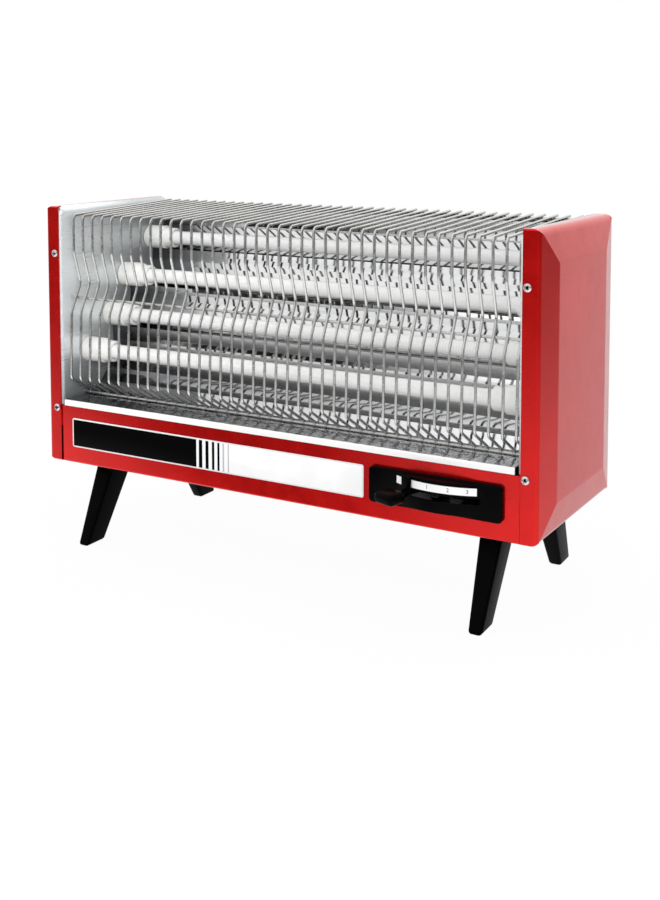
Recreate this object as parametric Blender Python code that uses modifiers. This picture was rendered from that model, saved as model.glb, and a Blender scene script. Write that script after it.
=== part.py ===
"""Electric quartz heater on four splayed legs: four tubes in front of a fluted reflector, behind a wire guard.

Metres, +Z up. X runs along the heater, the front faces -Y, and the origin is on the floor, centred under the
whole object. Depths are counted back from the front plane and heights up from the underside of the body.
"""

import math

import bmesh
import bpy
from mathutils import Matrix, Vector

# Body
BODY_WIDTH = 0.560
BODY_HEIGHT = 0.2784
BODY_DEPTH = 0.190
SHEET = 0.0012
FIT_GAP = 0.0003

# Side panels
SIDE_FLARE = 0.0065
SIDE_LIP = 0.016
SIDE_LIP_REAR = 0.032
SIDE_FIELD_INSET = 0.032
SIDE_FIELD_RISE = 0.0057
SIDE_EDGE_RADIUS = 0.0035

# Front panel, its printed plate and the aluminium strip above it
PANEL_HEIGHT = 0.0616
PANEL_SIDE_GAP = 0.0028
PANEL_HEM = 0.012
PANEL_TAB_LENGTH = 0.024
PLATE_END_GAP = 0.033
PLATE_BEZEL_GAP = 0.007
PLATE_BOTTOM = 0.018
PLATE_TOP = 0.0495
PLATE_THICKNESS = 0.0008
STRIP_HEIGHT = 0.0064
STRIP_END_GAP = 0.0025

# End plates that carry the tubes, the guard and the reflector
END_PLATE_INSET = 0.0176
END_FLANGE = 0.0140

# Quartz tubes, from the top one at the rear to the bottom one at the front
TUBE_DIAMETER = 0.016
TUBE_WALL = 0.0016
TOP_TUBE_DROP = 0.0454
TOP_TUBE_REAR_GAP = 0.035
BOTTOM_TUBE_HEIGHT = 0.117
BOTTOM_TUBE_DEPTH = 0.043
TUBE_STEPS_DOWN = (0.0, 0.336, 0.698, 1.0)
TUBE_STEPS_FORWARD = (0.0, 0.43, 0.67, 1.0)
TUBE_INTO_CAP = 0.026
CAP_DIAMETER = 0.027
CAP_NECK_DIAMETER = 0.023
CAP_LENGTH = 0.025
CAP_NECK_LENGTH = 0.013
CAP_BOSS_DIAMETER = 0.012
CAP_BOSS_REACH = 0.0022
COIL_DIAMETER = 0.009
PIN_DIAMETER = 0.004
PIN_REACH = 0.0085
BUS_BAR_WIDTH = 0.010

# Reflector behind the tubes
REFLECTOR_TOP_DROP = 0.010
REFLECTOR_REAR_GAP = 0.015
RIDGE_OFFSETS = ((0.005, -0.0145), (0.00916, -0.013524), (0.00354, -0.014532))
FLUTE_DEPTHS = (0.0125, 0.0135, 0.0125, 0.013)
FLUTE_STEPS = 6
REFLECTOR_FOOT_DEPTH = 0.052

# Wire guard
WIRE_DIAMETER = 0.0028
WIRE_PITCH = 0.0131
GUARD_END_GAP = 0.0027
ROD_DIAMETER = 0.003
ROD_THROUGH = 0.004
WELD = 0.0007
GUARD_REAR_GAP = 0.006
GUARD_FRONT_DEPTH = 0.0115
GUARD_SHOULDER_DROP = 0.0100
GUARD_WAIST_TOP_DROP = 0.050
GUARD_WAIST_DROP = 0.084
GUARD_WAIST_BOTTOM_DROP = 0.114
GUARD_WAIST_DEPTH = 0.0215
GUARD_LOWER_DEPTH = 0.0068
GUARD_SKIRT_DEPTH = 0.0042
GUARD_SKIRT_LIFT = 0.0235
GUARD_TOE_DEPTH = 0.038
GUARD_TOE_LIFT = 0.0030
GUARD_BEND_RADII = (0.0055, 0.014, 0.012, 0.014, 0.006)

# Control: a convex window, a scale on it and a lever that sweeps in front
PIVOT_OFFSET = 0.005
DIAL_RADIUS = 0.095
DIAL_PROUD = 0.014
DIAL_HALF_ANGLE = math.radians(29)
DIAL_WALL = 0.002
BEZEL_END_GAP = 0.031
BEZEL_LENGTH = 0.132
BEZEL_BOTTOM = 0.017
BEZEL_TOP = 0.051
BEZEL_PROUD = 0.005
BEZEL_RIM = 0.0045
BEZEL_COLLAR_DEPTH = 0.007
DIAL_BOTTOM = 0.0200
DIAL_TOP = 0.0495
SCALE_BOTTOM = 0.0400
SCALE_TOP = 0.0480
SCALE_HALF_ANGLE = math.radians(25.4)
SCALE_THICKNESS = 0.0006
LEVER_ANGLE = math.radians(-17)
LEVER_SWEEP = math.radians(39)
SLOT_BOTTOM = 0.0310
SLOT_TOP = 0.0370
SLOT_END_GAP = math.radians(0.8)
ARM_THICKNESS = 0.0034
ARM_WIDTH = 0.008
POINTER_TOP = 0.0492
POINTER_THICKNESS = 0.0018
GRIP_REACH = 0.129
GRIP_LENGTH = 0.020
GRIP_WIDTH = 0.023
GRIP_BOTTOM = 0.0290
GRIP_TOP = 0.0400
GRIP_RADIUS = 0.0045

# Rotary switch under the lever
HUB_DIAMETER = 0.018
HUB_HEIGHT = 0.008
SHAFT_DIAMETER = 0.006
SHAFT_REACH = 0.012
SWITCH_WIDTH = 0.034
BUSHING_DIAMETER = 0.011
BUSHING_REACH = 0.0012
BRACKET_WIDTH = 0.026
BRACKET_SPAN = 0.062
BRACKET_FOOT = 0.010

# Mains side: terminal block, leads and cord gland
BLOCK_END_GAP = 0.160
BLOCK_LENGTH = 0.044
BLOCK_WIDTH = 0.018
BLOCK_HEIGHT = 0.016
BLOCK_REAR_GAP = 0.030
LEAD_DIAMETER = 0.004
LEAD_DEPTH = 0.106
LEAD_HEIGHT = 0.018
GLAND_END_GAP = 0.080
GLAND_HEIGHT = 0.034
GLAND_DIAMETER = 0.012
GLAND_FLANGE = 0.018
GLAND_LENGTH = 0.014
GLAND_BORE = 0.0085

# Back panel
VENT_WIDTH = 0.034
VENT_HEIGHT = 0.005
VENT_PITCH = 0.048
LOW_VENT_HEIGHTS = (0.045, 0.060, 0.075)
HIGH_VENT_DROPS = (0.0434, 0.0584, 0.0734)
BACK_FLANGE = 0.022
BACK_TOP_DROP = 0.0074

# Legs: each one is wider in depth than across, and leans away from the body's middle
LEG_HEIGHT = 0.0908
LEG_TOP_WIDTH = 0.024
LEG_TOP_DEPTH = 0.038
LEG_FOOT_WIDTH = 0.0135
LEG_FOOT_DEPTH = 0.029
LEG_SPLAY = 0.0485
LEG_EDGE_RADIUS = 0.003
FRONT_LEG_DEPTH = 0.0625
REAR_LEG_INSET = 0.0265
FRONT_LEFT_LEG_INSET = 0.044
FRONT_RIGHT_LEG_INSET = 0.058
REAR_LEFT_LEG_INSET = 0.053
REAR_RIGHT_LEG_INSET = 0.050

# Screws
SCREW_HEAD = 0.008
SCREW_HEAD_HEIGHT = 0.0022
SCREW_SHANK = 0.0034
SCREW_LENGTH = 0.008
SCREW_CLEARANCE = 0.0006
LEG_SCREW_LENGTH = 0.014
LIP_SCREW_INSET = 0.0112
LOW_SCREW_HEIGHT = 0.0585
HIGH_SCREW_DROP = 0.051
LOW_REAR_SCREW_HEIGHT = 0.030
HIGH_REAR_SCREW_DROP = 0.0304

ROUND_SIDES = 16
SMALL_SIDES = 10

# Places that follow from the sizes above
BEZEL_RIGHT = BODY_WIDTH / 2 - BEZEL_END_GAP
BEZEL_LEFT = BEZEL_RIGHT - BEZEL_LENGTH
PIVOT_X = (BEZEL_LEFT + BEZEL_RIGHT) / 2 + PIVOT_OFFSET
PLATE_LEFT = PLATE_END_GAP - BODY_WIDTH / 2
PLATE_RIGHT = BEZEL_LEFT - PLATE_BEZEL_GAP
BLOCK_X = BODY_WIDTH / 2 - BLOCK_END_GAP
GLAND_X = BODY_WIDTH / 2 - GLAND_END_GAP
REAR_SCREW_HEIGHTS = (LOW_REAR_SCREW_HEIGHT, BODY_HEIGHT - HIGH_REAR_SCREW_DROP)
VENT_ROW_HEIGHTS = LOW_VENT_HEIGHTS + tuple(BODY_HEIGHT - drop for drop in HIGH_VENT_DROPS)
VENT_COUNT = int(BODY_WIDTH / VENT_PITCH) - 1
REAR_LEG_DEPTH = BODY_DEPTH - REAR_LEG_INSET
LEG_PLACES = {
    "front_left_leg": (FRONT_LEFT_LEG_INSET - BODY_WIDTH / 2, FRONT_LEG_DEPTH, -1),
    "front_right_leg": (BODY_WIDTH / 2 - FRONT_RIGHT_LEG_INSET, FRONT_LEG_DEPTH, -1),
    "rear_left_leg": (REAR_LEFT_LEG_INSET - BODY_WIDTH / 2, REAR_LEG_DEPTH, 1),
    "rear_right_leg": (BODY_WIDTH / 2 - REAR_RIGHT_LEG_INSET, REAR_LEG_DEPTH, 1),
}

# The pivot of the lever, and the middle of the whole object's depth
PIVOT_DEPTH = DIAL_RADIUS - DIAL_PROUD
GRIP_FRONT = (
    PIVOT_DEPTH
    - (GRIP_REACH - GRIP_RADIUS) * math.cos(LEVER_ANGLE)
    - (GRIP_WIDTH / 2 - GRIP_RADIUS) * math.sin(-LEVER_ANGLE)
    - GRIP_RADIUS
)
LEG_REAR = REAR_LEG_DEPTH + LEG_SPLAY + LEG_FOOT_DEPTH / 2
MID_DEPTH = (GRIP_FRONT + LEG_REAR) / 2

END_PLATE_X = BODY_WIDTH / 2 - END_PLATE_INSET - SHEET
WIRE_COUNT = int((2 * END_PLATE_X - 2 * GUARD_END_GAP) / WIRE_PITCH) + 1
FLOOR_HEIGHT = PANEL_HEIGHT + FIT_GAP + STRIP_HEIGHT
TRAY_TOP = 2 * SHEET + FIT_GAP


def depth(value):
    """World Y of a depth behind the front plane."""
    return value - MID_DEPTH


def height(value):
    """World Z of a height above the underside of the body."""
    return value + LEG_HEIGHT


# Scene and collections
for old in list(bpy.data.objects):
    bpy.data.objects.remove(old, do_unlink=True)
heater = bpy.data.collections.new("electric_heater")
cutters = bpy.data.collections.new("cutters")
bpy.context.scene.collection.children.link(heater)
bpy.context.scene.collection.children.link(cutters)


def material(name, color, roughness, metallic=0.0):
    mat = bpy.data.materials.new(name)
    mat.use_nodes = True
    shader = mat.node_tree.nodes["Principled BSDF"]
    shader.inputs["Base Color"].default_value = (*color, 1)
    shader.inputs["Roughness"].default_value = roughness
    shader.inputs["Metallic"].default_value = metallic
    mat.diffuse_color = (*color, 1)
    return mat


RED_PAINT = material("red_paint", (0.62, 0.010, 0.012), 0.22)
BLACK_PLASTIC = material("black_plastic", (0.012, 0.012, 0.013), 0.30)
MIRROR_ALUMINIUM = material("mirror_aluminium", (0.86, 0.87, 0.88), 0.12, 1.0)
BRUSHED_ALUMINIUM = material("brushed_aluminium", (0.62, 0.65, 0.67), 0.35, 1.0)
CHROME_WIRE = material("chrome_wire", (0.78, 0.78, 0.76), 0.16, 1.0)
WHITE_QUARTZ = material("white_quartz", (0.90, 0.90, 0.88), 0.25)
WHITE_CERAMIC = material("white_ceramic", (0.86, 0.86, 0.83), 0.45)
RESISTANCE_WIRE = material("resistance_wire", (0.30, 0.26, 0.22), 0.50, 1.0)
ZINC_STEEL = material("zinc_steel", (0.60, 0.61, 0.62), 0.35, 1.0)
PRINTED_PLATE = material("printed_plate", (0.88, 0.88, 0.88), 0.30)
SCALE_WHITE = material("scale_white", (0.88, 0.88, 0.86), 0.40)


def add(name, mesh, mat, where=heater):
    obj = bpy.data.objects.new(name, mesh)
    where.objects.link(obj)
    if mat:
        mesh.materials.append(mat)
    if where == cutters:
        obj.hide_render = True
        obj.display_type = "WIRE"
    return obj


def mesh_of(name, bm):
    mesh = bpy.data.meshes.new(name)
    bmesh.ops.recalc_face_normals(bm, faces=bm.faces)
    bm.to_mesh(mesh)
    bm.free()
    return mesh


def add_box(bm, low, high):
    low, high = Vector(low), Vector(high)
    middle = Matrix.Translation((low + high) / 2)
    return bmesh.ops.create_cube(bm, size=1, matrix=middle @ Matrix.Diagonal((*(high - low), 1)))["verts"]


def add_rod(bm, start, end, diameter, sides=ROUND_SIDES):
    start, end = Vector(start), Vector(end)
    along = end - start
    turn = along.to_track_quat("Z", "Y").to_matrix().to_4x4()
    bmesh.ops.create_cone(
        bm,
        cap_ends=True,
        segments=sides,
        radius1=diameter / 2,
        radius2=diameter / 2,
        depth=along.length,
        matrix=Matrix.Translation((start + end) / 2) @ turn,
    )


def box(name, low, high, mat, where=heater):
    bm = bmesh.new()
    add_box(bm, low, high)
    return add(name, mesh_of(name, bm), mat, where)


def rods(name, ends, diameter, mat=None, where=cutters, sides=ROUND_SIDES):
    """Several rods in one object, mostly to cut holes with."""
    bm = bmesh.new()
    for start, end in ends:
        add_rod(bm, start, end, diameter, sides)
    return add(name, mesh_of(name, bm), mat, where)


def boolean(obj, other, operation):
    mod = obj.modifiers.new(operation.lower(), "BOOLEAN")
    mod.operation = operation
    mod.object = other
    return obj


def cut(obj, other):
    return boolean(obj, other, "DIFFERENCE")


def join(obj, other):
    return boolean(obj, other, "UNION")


def bevel(obj, width, segments=2, angle=30):
    mod = obj.modifiers.new("rounding", "BEVEL")
    mod.width = width
    mod.segments = segments
    mod.limit_method = "ANGLE"
    mod.angle_limit = math.radians(angle)
    return obj


def solidify(obj, thickness, offset=-1):
    mod = obj.modifiers.new("sheet", "SOLIDIFY")
    mod.thickness = thickness
    mod.offset = offset
    mod.use_even_offset = True
    return obj


def smooth(obj, angle=35):
    obj.data.shade_smooth()
    obj.data.set_sharp_from_angle(angle=math.radians(angle))
    return obj


def sheet(name, profile, axis, start, end, mat, where=heater):
    """A folded sheet: an open profile drawn out along one axis. The metal lies to the profile's right."""
    bm = bmesh.new()
    step = Vector((0, 0, 0))
    step["XYZ".index(axis)] = end - start
    base = Vector((0, 0, 0))
    base["XYZ".index(axis)] = start
    verts = [bm.verts.new(base + Vector(point)) for point in profile]
    edges = [bm.edges.new(pair) for pair in zip(verts, verts[1:])]
    drawn = bmesh.ops.extrude_edge_only(bm, edges=edges)["geom"]
    bmesh.ops.translate(bm, verts=[v for v in drawn if isinstance(v, bmesh.types.BMVert)], vec=step)
    mesh = bpy.data.meshes.new(name)
    bm.to_mesh(mesh)
    bm.free()
    return solidify(add(name, mesh, mat, where), SHEET)


def turned(name, profile, sides, mat, place, turn, closed=False, where=heater):
    """A turned piece. The profile gives radius and place along the axis; closed for one with a bore."""
    mesh = bpy.data.meshes.new(name)
    count = len(profile)
    area = sum(a[0] * b[1] - b[0] * a[1] for a, b in zip(profile, profile[1:] + profile[:1]))
    if area > 0:
        profile = profile[::-1]
    pairs = [(i, (i + 1) % count) for i in range(count if closed else count - 1)]
    mesh.from_pydata([(radius, 0, along) for radius, along in profile], pairs, [])
    obj = add(name, mesh, mat, where)
    obj.matrix_world = Matrix.Translation(place) @ turn
    mod = obj.modifiers.new("turning", "SCREW")
    mod.steps = mod.render_steps = sides
    mod.use_merge_vertices = True
    mod.merge_threshold = 0.00001
    mod.use_smooth_shade = True
    return obj


def bent(name, paths, diameter, mat):
    """Round wires along the given paths, in one mesh."""
    curve = bpy.data.curves.new(name, "CURVE")
    curve.dimensions = "3D"
    curve.bevel_depth = diameter / 2
    curve.bevel_resolution = 1
    curve.use_fill_caps = True
    for path in paths:
        spline = curve.splines.new("POLY")
        spline.points.add(len(path) - 1)
        for point, place in zip(spline.points, path):
            point.co = (*place, 1)
    drawn = bpy.data.objects.new(name + "_curve", curve)
    heater.objects.link(drawn)
    mesh = bpy.data.meshes.new_from_object(drawn.evaluated_get(bpy.context.evaluated_depsgraph_get()))
    bpy.data.objects.remove(drawn)
    bm = bmesh.new()
    bm.from_mesh(mesh)
    bmesh.ops.remove_doubles(bm, verts=bm.verts, dist=0.00001)
    return add(name, mesh_of(name, bm), mat)


def fillet(points, radii, steps=3):
    """The points of a bent wire, with each inner corner rounded by its own radius."""
    out = [points[0]]
    for before, corner, after, radius in zip(points, points[1:], points[2:], radii):
        into = (before - corner).normalized()
        away = (after - corner).normalized()
        half = into.angle(away) / 2
        run = min(radius / math.tan(half), 0.45 * min((before - corner).length, (after - corner).length))
        bow = run * math.tan(half)
        centre = corner + (into + away).normalized() * (bow / math.sin(half))
        start, end = corner + into * run - centre, corner + away * run - centre
        out += [centre + start.slerp(end, i / (steps - 1)) * bow for i in range(steps)]
    return out + [points[-1]]


def welded(name, boxes, mat, where=heater):
    """Overlapping boxes joined into one body, as for folded and tabbed sheet."""
    obj = box(name, *boxes[0], mat, where)
    for i, (low, high) in enumerate(boxes[1:]):
        join(obj, box(f"{name}_part_{i}", low, high, None, cutters))
    return obj


# Side panels: a pressed pan with a raised field on its face and a lip all round its inner side
def side_panel(name, side):
    bm = bmesh.new()
    inner = BODY_WIDTH / 2 - SIDE_LIP
    low = (inner, depth(0), height(0))
    high = (BODY_WIDTH / 2, depth(BODY_DEPTH), height(BODY_HEIGHT))
    for vert in add_box(bm, low, high):
        if vert.co.y > depth(BODY_DEPTH / 2):
            outward = vert.co.x > inner + SIDE_LIP / 2
            vert.co.x = BODY_WIDTH / 2 + SIDE_FLARE - (0 if outward else SIDE_LIP_REAR)
    face = max(bm.faces, key=lambda f: f.calc_center_median().x)
    open_side = min(bm.faces, key=lambda f: f.calc_center_median().x)
    bmesh.ops.inset_region(bm, faces=[face], thickness=SIDE_FIELD_INSET)
    bmesh.ops.translate(bm, verts=face.verts, vec=(SIDE_FIELD_RISE, 0, 0))
    bmesh.ops.delete(bm, geom=[open_side], context="FACES_ONLY")
    bmesh.ops.scale(bm, verts=bm.verts, vec=(side, 1, 1))
    panel = add(name, mesh_of(name, bm), RED_PAINT)
    bevel(panel, SIDE_EDGE_RADIUS, 2, 40)
    solidify(panel, SHEET)
    x = side * (BODY_WIDTH / 2 - LIP_SCREW_INSET)
    holes = []
    for z in (LOW_SCREW_HEIGHT, BODY_HEIGHT - HIGH_SCREW_DROP):
        holes.append(((x, depth(-SHEET), height(z)), (x, depth(2 * SHEET), height(z))))
    for z in REAR_SCREW_HEIGHTS:
        start, end = depth(BODY_DEPTH - 2 * SHEET), depth(BODY_DEPTH + SHEET)
        holes.append(((x, start, height(z)), (x, end, height(z))))
    cut(panel, rods(name + "_holes", holes, SCREW_SHANK + SCREW_CLEARANCE, sides=SMALL_SIDES))
    return smooth(panel, 20)


# Front panel: a face, a hem under the tray and a tab behind each side panel's lip
def front_panel():
    left = -(BODY_WIDTH / 2 - SIDE_LIP) + PANEL_SIDE_GAP
    right = BODY_WIDTH / 2 - SIDE_LIP - FIT_GAP
    tab_front, tab_back = depth(SHEET + FIT_GAP), depth(2 * SHEET + FIT_GAP)
    tab_end = BODY_WIDTH / 2 - SHEET - SIDE_EDGE_RADIUS
    tab_low, tab_high = height(PANEL_HEIGHT - PANEL_TAB_LENGTH), height(PANEL_HEIGHT)
    step = height(PANEL_HEIGHT - SHEET)
    jog = 2 * SHEET
    panel = welded(
        "front_panel",
        [
            ((left, depth(0), height(0)), (right, depth(SHEET), height(PANEL_HEIGHT))),
            ((left + SHEET, depth(SHEET / 2), height(0)), (right - SHEET, depth(PANEL_HEM), height(SHEET))),
            ((left, depth(SHEET / 2), tab_low), (left + jog, tab_back, step)),
            ((-tab_end, tab_front, tab_low + SHEET), (left + jog / 2, tab_back - SHEET / 4, tab_high)),
            ((right - jog, depth(SHEET / 2), tab_low), (right, tab_back, step)),
            ((right - jog / 2, tab_front, tab_low + SHEET), (tab_end, tab_back - SHEET / 4, tab_high)),
        ],
        RED_PAINT,
    )
    window_low = (BEZEL_LEFT + BEZEL_RIM, depth(-SHEET), height(BEZEL_BOTTOM + BEZEL_RIM))
    window_high = (BEZEL_RIGHT - BEZEL_RIM, depth(2 * SHEET), height(BEZEL_TOP - BEZEL_RIM))
    cut(panel, box("front_panel_window", window_low, window_high, None, cutters))
    holes = []
    for side in (-1, 1):
        x = side * (BODY_WIDTH / 2 - LIP_SCREW_INSET)
        holes.append(((x, depth(0), height(LOW_SCREW_HEIGHT)), (x, tab_back + SHEET, height(LOW_SCREW_HEIGHT))))
    cut(panel, rods("front_panel_holes", holes, SCREW_SHANK + SCREW_CLEARANCE, sides=SMALL_SIDES))
    return panel


# Printed plate along the left of the front panel
def decal_plate():
    low = (PLATE_LEFT, depth(-PLATE_THICKNESS - FIT_GAP), height(PLATE_BOTTOM))
    high = (PLATE_RIGHT, depth(-FIT_GAP), height(PLATE_TOP))
    return box("printed_plate", low, high, PRINTED_PLATE)


# Aluminium floor of the heating chamber, whose front edge is the bright strip above the panel
def chamber_floor():
    end = END_PLATE_X - STRIP_END_GAP
    low = height(PANEL_HEIGHT + FIT_GAP)
    top = height(FLOOR_HEIGHT)
    return welded(
        "chamber_floor",
        [
            ((-end, depth(0), low), (end, depth(SHEET), top)),
            ((-end, depth(SHEET / 2), top - SHEET), (end, depth(REFLECTOR_FOOT_DEPTH), top)),
        ],
        MIRROR_ALUMINIUM,
    )


# Base tray: the bottom sheet, with its front and rear edges turned up
def base_tray():
    half = BODY_WIDTH / 2 - SHEET - 2 * FIT_GAP - SHEET
    front, rear = depth(SIDE_EDGE_RADIUS), depth(BODY_DEPTH - SIDE_EDGE_RADIUS)
    low, top = height(SHEET + FIT_GAP), height(TRAY_TOP)
    tray = welded(
        "base_tray",
        [
            ((-half, front, low), (half, rear, top)),
            ((-END_PLATE_X + SHEET, front, low), (END_PLATE_X - SHEET, front + SHEET, top + PANEL_HEM)),
            ((-END_PLATE_X + SHEET, rear - SHEET, low), (END_PLATE_X - SHEET, rear, top + PANEL_HEM)),
        ],
        ZINC_STEEL,
    )
    holes = []
    for x, y, _ in LEG_PLACES.values():
        holes.append(((x, depth(y), height(0)), (x, depth(y), height(2 * TRAY_TOP))))
    cut(tray, rods("base_tray_holes", holes, SCREW_SHANK + SCREW_CLEARANCE, sides=SMALL_SIDES))
    return tray


# Where the four tubes lie, as depth and height of each axis, from the top one down
def tube_places():
    top = Vector((BODY_DEPTH - TOP_TUBE_REAR_GAP, BODY_HEIGHT - TOP_TUBE_DROP))
    bottom = Vector((BOTTOM_TUBE_DEPTH, BOTTOM_TUBE_HEIGHT))
    places = []
    for forward, down in zip(TUBE_STEPS_FORWARD, TUBE_STEPS_DOWN):
        places.append(Vector((top.x + (bottom.x - top.x) * forward, top.y + (bottom.y - top.y) * down)))
    return places


TUBES = tube_places()


# End plates: each is folded outwards at its front and its top, behind the side panel's lips
def end_plate(name, side):
    x = side * END_PLATE_X
    outer = x + side * SHEET
    lip = x + side * END_FLANGE
    front = depth(SHEET + FIT_GAP)
    rear = depth(BODY_DEPTH - 2 * SHEET - 2 * FIT_GAP)
    top = height(BODY_HEIGHT - SHEET - FIT_GAP)
    tab_clear = height(PANEL_HEIGHT + 2 * FIT_GAP)
    corner = BODY_HEIGHT - SIDE_EDGE_RADIUS

    def span(low, high):
        xs = sorted((low[0], high[0]))
        return (xs[0], low[1], low[2]), (xs[1], high[1], high[2])

    plate = welded(
        name,
        [
            span((x, front, tab_clear), (outer, rear, top)),
            span((x, front + 3 * SHEET, height(TRAY_TOP + FIT_GAP)), (outer, rear, tab_clear + SHEET)),
            span((x + side * SHEET / 2, front, tab_clear), (lip, front + SHEET, height(corner))),
            span((x + side * SHEET / 2, depth(SIDE_EDGE_RADIUS), top - SHEET), (lip, rear, top)),
        ],
        BRUSHED_ALUMINIUM,
    )
    holes = []
    for place in TUBES:
        y, z = depth(place.x), height(place.y)
        holes.append(((x - side * SHEET, y, z), (x + side * 2 * SHEET, y, z)))
    bosses = rods(name + "_boss_holes", holes, CAP_BOSS_DIAMETER + 2 * FIT_GAP)
    cut(plate, bosses)
    rod_holes = []
    for y, z in guard_rods():
        rod_holes.append(((x - side * SHEET, depth(y), height(z)), (x + side * 2 * SHEET, depth(y), height(z))))
    cut(plate, rods(name + "_rod_holes", rod_holes, ROD_DIAMETER + 2 * FIT_GAP, sides=SMALL_SIDES))
    screw_x = side * (BODY_WIDTH / 2 - LIP_SCREW_INSET)
    z = height(BODY_HEIGHT - HIGH_SCREW_DROP)
    hole = [((screw_x, depth(0), z), (screw_x, front + 2 * SHEET, z))]
    cut(plate, rods(name + "_screw_hole", hole, SCREW_SHANK + SCREW_CLEARANCE, sides=SMALL_SIDES))
    if side > 0:
        y, z = depth(LEAD_DEPTH), height(LEAD_HEIGHT)
        lead = [((x - SHEET, y, z), (x + 2 * SHEET, y, z))]
        cut(plate, rods(name + "_lead_hole", lead, LEAD_DIAMETER + 2 * SHEET))
    return plate


# Tubes, their caps and the heating coils inside them
def turn_to_x(side=1):
    return Matrix.Rotation(math.radians(90 * side), 4, "Y")


def heating_tube(number, place):
    y, z = depth(place.x), height(place.y)
    cap_inner = END_PLATE_X - FIT_GAP - CAP_LENGTH - CAP_NECK_LENGTH
    half = cap_inner + TUBE_INTO_CAP
    outer, bore = TUBE_DIAMETER / 2, TUBE_DIAMETER / 2 - TUBE_WALL
    loop = [(bore, -half), (outer, -half), (outer, half), (bore, half)]
    turned(f"quartz_tube_{number}", loop, ROUND_SIDES, WHITE_QUARTZ, (0, y, z), turn_to_x(), closed=True)

    coil, pin, end = COIL_DIAMETER / 2, PIN_DIAMETER / 2, END_PLATE_X + PIN_REACH
    shoulder = half - SHEET
    profile = [(0, -end), (pin, -end), (pin, -shoulder), (coil, -shoulder)]
    profile += [(radius, -along) for radius, along in reversed(profile)]
    turned(f"heating_coil_{number}", profile, SMALL_SIDES, RESISTANCE_WIRE, (0, y, z), turn_to_x())

    cap, neck, boss = CAP_DIAMETER / 2, CAP_NECK_DIAMETER / 2, CAP_BOSS_DIAMETER / 2
    seat, hole = outer + FIT_GAP, pin + FIT_GAP
    for side, side_name in ((-1, "left"), (1, "right")):
        back = END_PLATE_X - FIT_GAP
        loop = [
            (seat, cap_inner),
            (seat, half + FIT_GAP),
            (hole, half + FIT_GAP),
            (hole, back + SHEET + CAP_BOSS_REACH),
            (boss, back + SHEET + CAP_BOSS_REACH),
            (boss, back),
            (cap, back),
            (cap, cap_inner + CAP_NECK_LENGTH),
            (neck, cap_inner + CAP_NECK_LENGTH),
            (neck, cap_inner),
        ]
        name = f"{side_name}_cap_{number}"
        turned(name, loop, ROUND_SIDES, WHITE_CERAMIC, (0, y, z), turn_to_x(side), closed=True)


# Bus bar that joins the four coils at their left ends
def bus_bar():
    x = -(END_PLATE_X + SHEET + CAP_BOSS_REACH + FIT_GAP + SHEET / 2)
    half = BUS_BAR_WIDTH / 2
    low, high = [], []
    for i, place in enumerate(TUBES):
        before, after = TUBES[max(i - 1, 0)], TUBES[min(i + 1, len(TUBES) - 1)]
        along = (after - before).normalized()
        across = Vector((-along.y, along.x)) * half
        end = along * half * ((i == len(TUBES) - 1) - (i == 0))
        low.append(place + end + across)
        high.append(place + end - across)
    bm = bmesh.new()
    verts = [bm.verts.new((x, depth(p.x), height(p.y))) for p in low + high[::-1]]
    bm.faces.new(verts)
    bar = add("left_bus_bar", mesh_of("left_bus_bar", bm), ZINC_STEEL)
    solidify(bar, SHEET, 0)
    holes = []
    for place in TUBES:
        y, z = depth(place.x), height(place.y)
        holes.append(((x - 2 * SHEET, y, z), (x + 2 * SHEET, y, z)))
    return cut(bar, rods("bus_bar_holes", holes, PIN_DIAMETER + 2 * FIT_GAP, sides=SMALL_SIDES))


# Reflector: one flute behind each tube, with a ridge close below each tube but the last
def arc(start, end, rise):
    """Points from start to end on an arc that bulges by rise to the rear and down."""
    chord = end - start
    outward = Vector((-chord.y, chord.x)).normalized()
    if outward.x < 0:
        outward = -outward
    radius = (chord.length**2 / 4 + rise**2) / (2 * rise)
    centre = (start + end) / 2 + outward * (rise - radius)
    first, last = start - centre, end - centre
    return [centre + first.slerp(last, i / FLUTE_STEPS) * radius for i in range(FLUTE_STEPS + 1)]


def reflector_profile():
    corners = [Vector((BODY_DEPTH - REFLECTOR_REAR_GAP, BODY_HEIGHT - REFLECTOR_TOP_DROP))]
    for tube, offset in zip(TUBES, RIDGE_OFFSETS):
        corners.append(tube + Vector(offset))
    corners.append(Vector((REFLECTOR_FOOT_DEPTH - SHEET - FIT_GAP, FLOOR_HEIGHT + FIT_GAP)))
    points = [corners[0]]
    for start, end, rise in zip(corners, corners[1:], FLUTE_DEPTHS):
        points += arc(start, end, rise)[1:]
    return points


def reflector():
    half = END_PLATE_X - FIT_GAP
    profile = [(0, depth(p.x), height(p.y)) for p in reflector_profile()]
    return smooth(sheet("reflector", profile, "X", -half, half, MIRROR_ALUMINIUM))


# Wire guard: bent wires welded to cross rods that end in the end plates
def guard_profile():
    """A wire's centreline as depth and height, from its rear end over the top and down to its toe."""
    ceiling = BODY_HEIGHT - SHEET - FIT_GAP - WIRE_DIAMETER / 2
    points = [
        (BODY_DEPTH - GUARD_REAR_GAP, ceiling),
        (GUARD_FRONT_DEPTH, BODY_HEIGHT - GUARD_SHOULDER_DROP),
        (GUARD_FRONT_DEPTH, BODY_HEIGHT - GUARD_WAIST_TOP_DROP),
        (GUARD_WAIST_DEPTH, BODY_HEIGHT - GUARD_WAIST_DROP),
        (GUARD_LOWER_DEPTH, BODY_HEIGHT - GUARD_WAIST_BOTTOM_DROP),
        (GUARD_SKIRT_DEPTH, FLOOR_HEIGHT + GUARD_SKIRT_LIFT),
        (GUARD_TOE_DEPTH, FLOOR_HEIGHT + GUARD_TOE_LIFT),
    ]
    return [Vector(point) for point in points]


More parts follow.
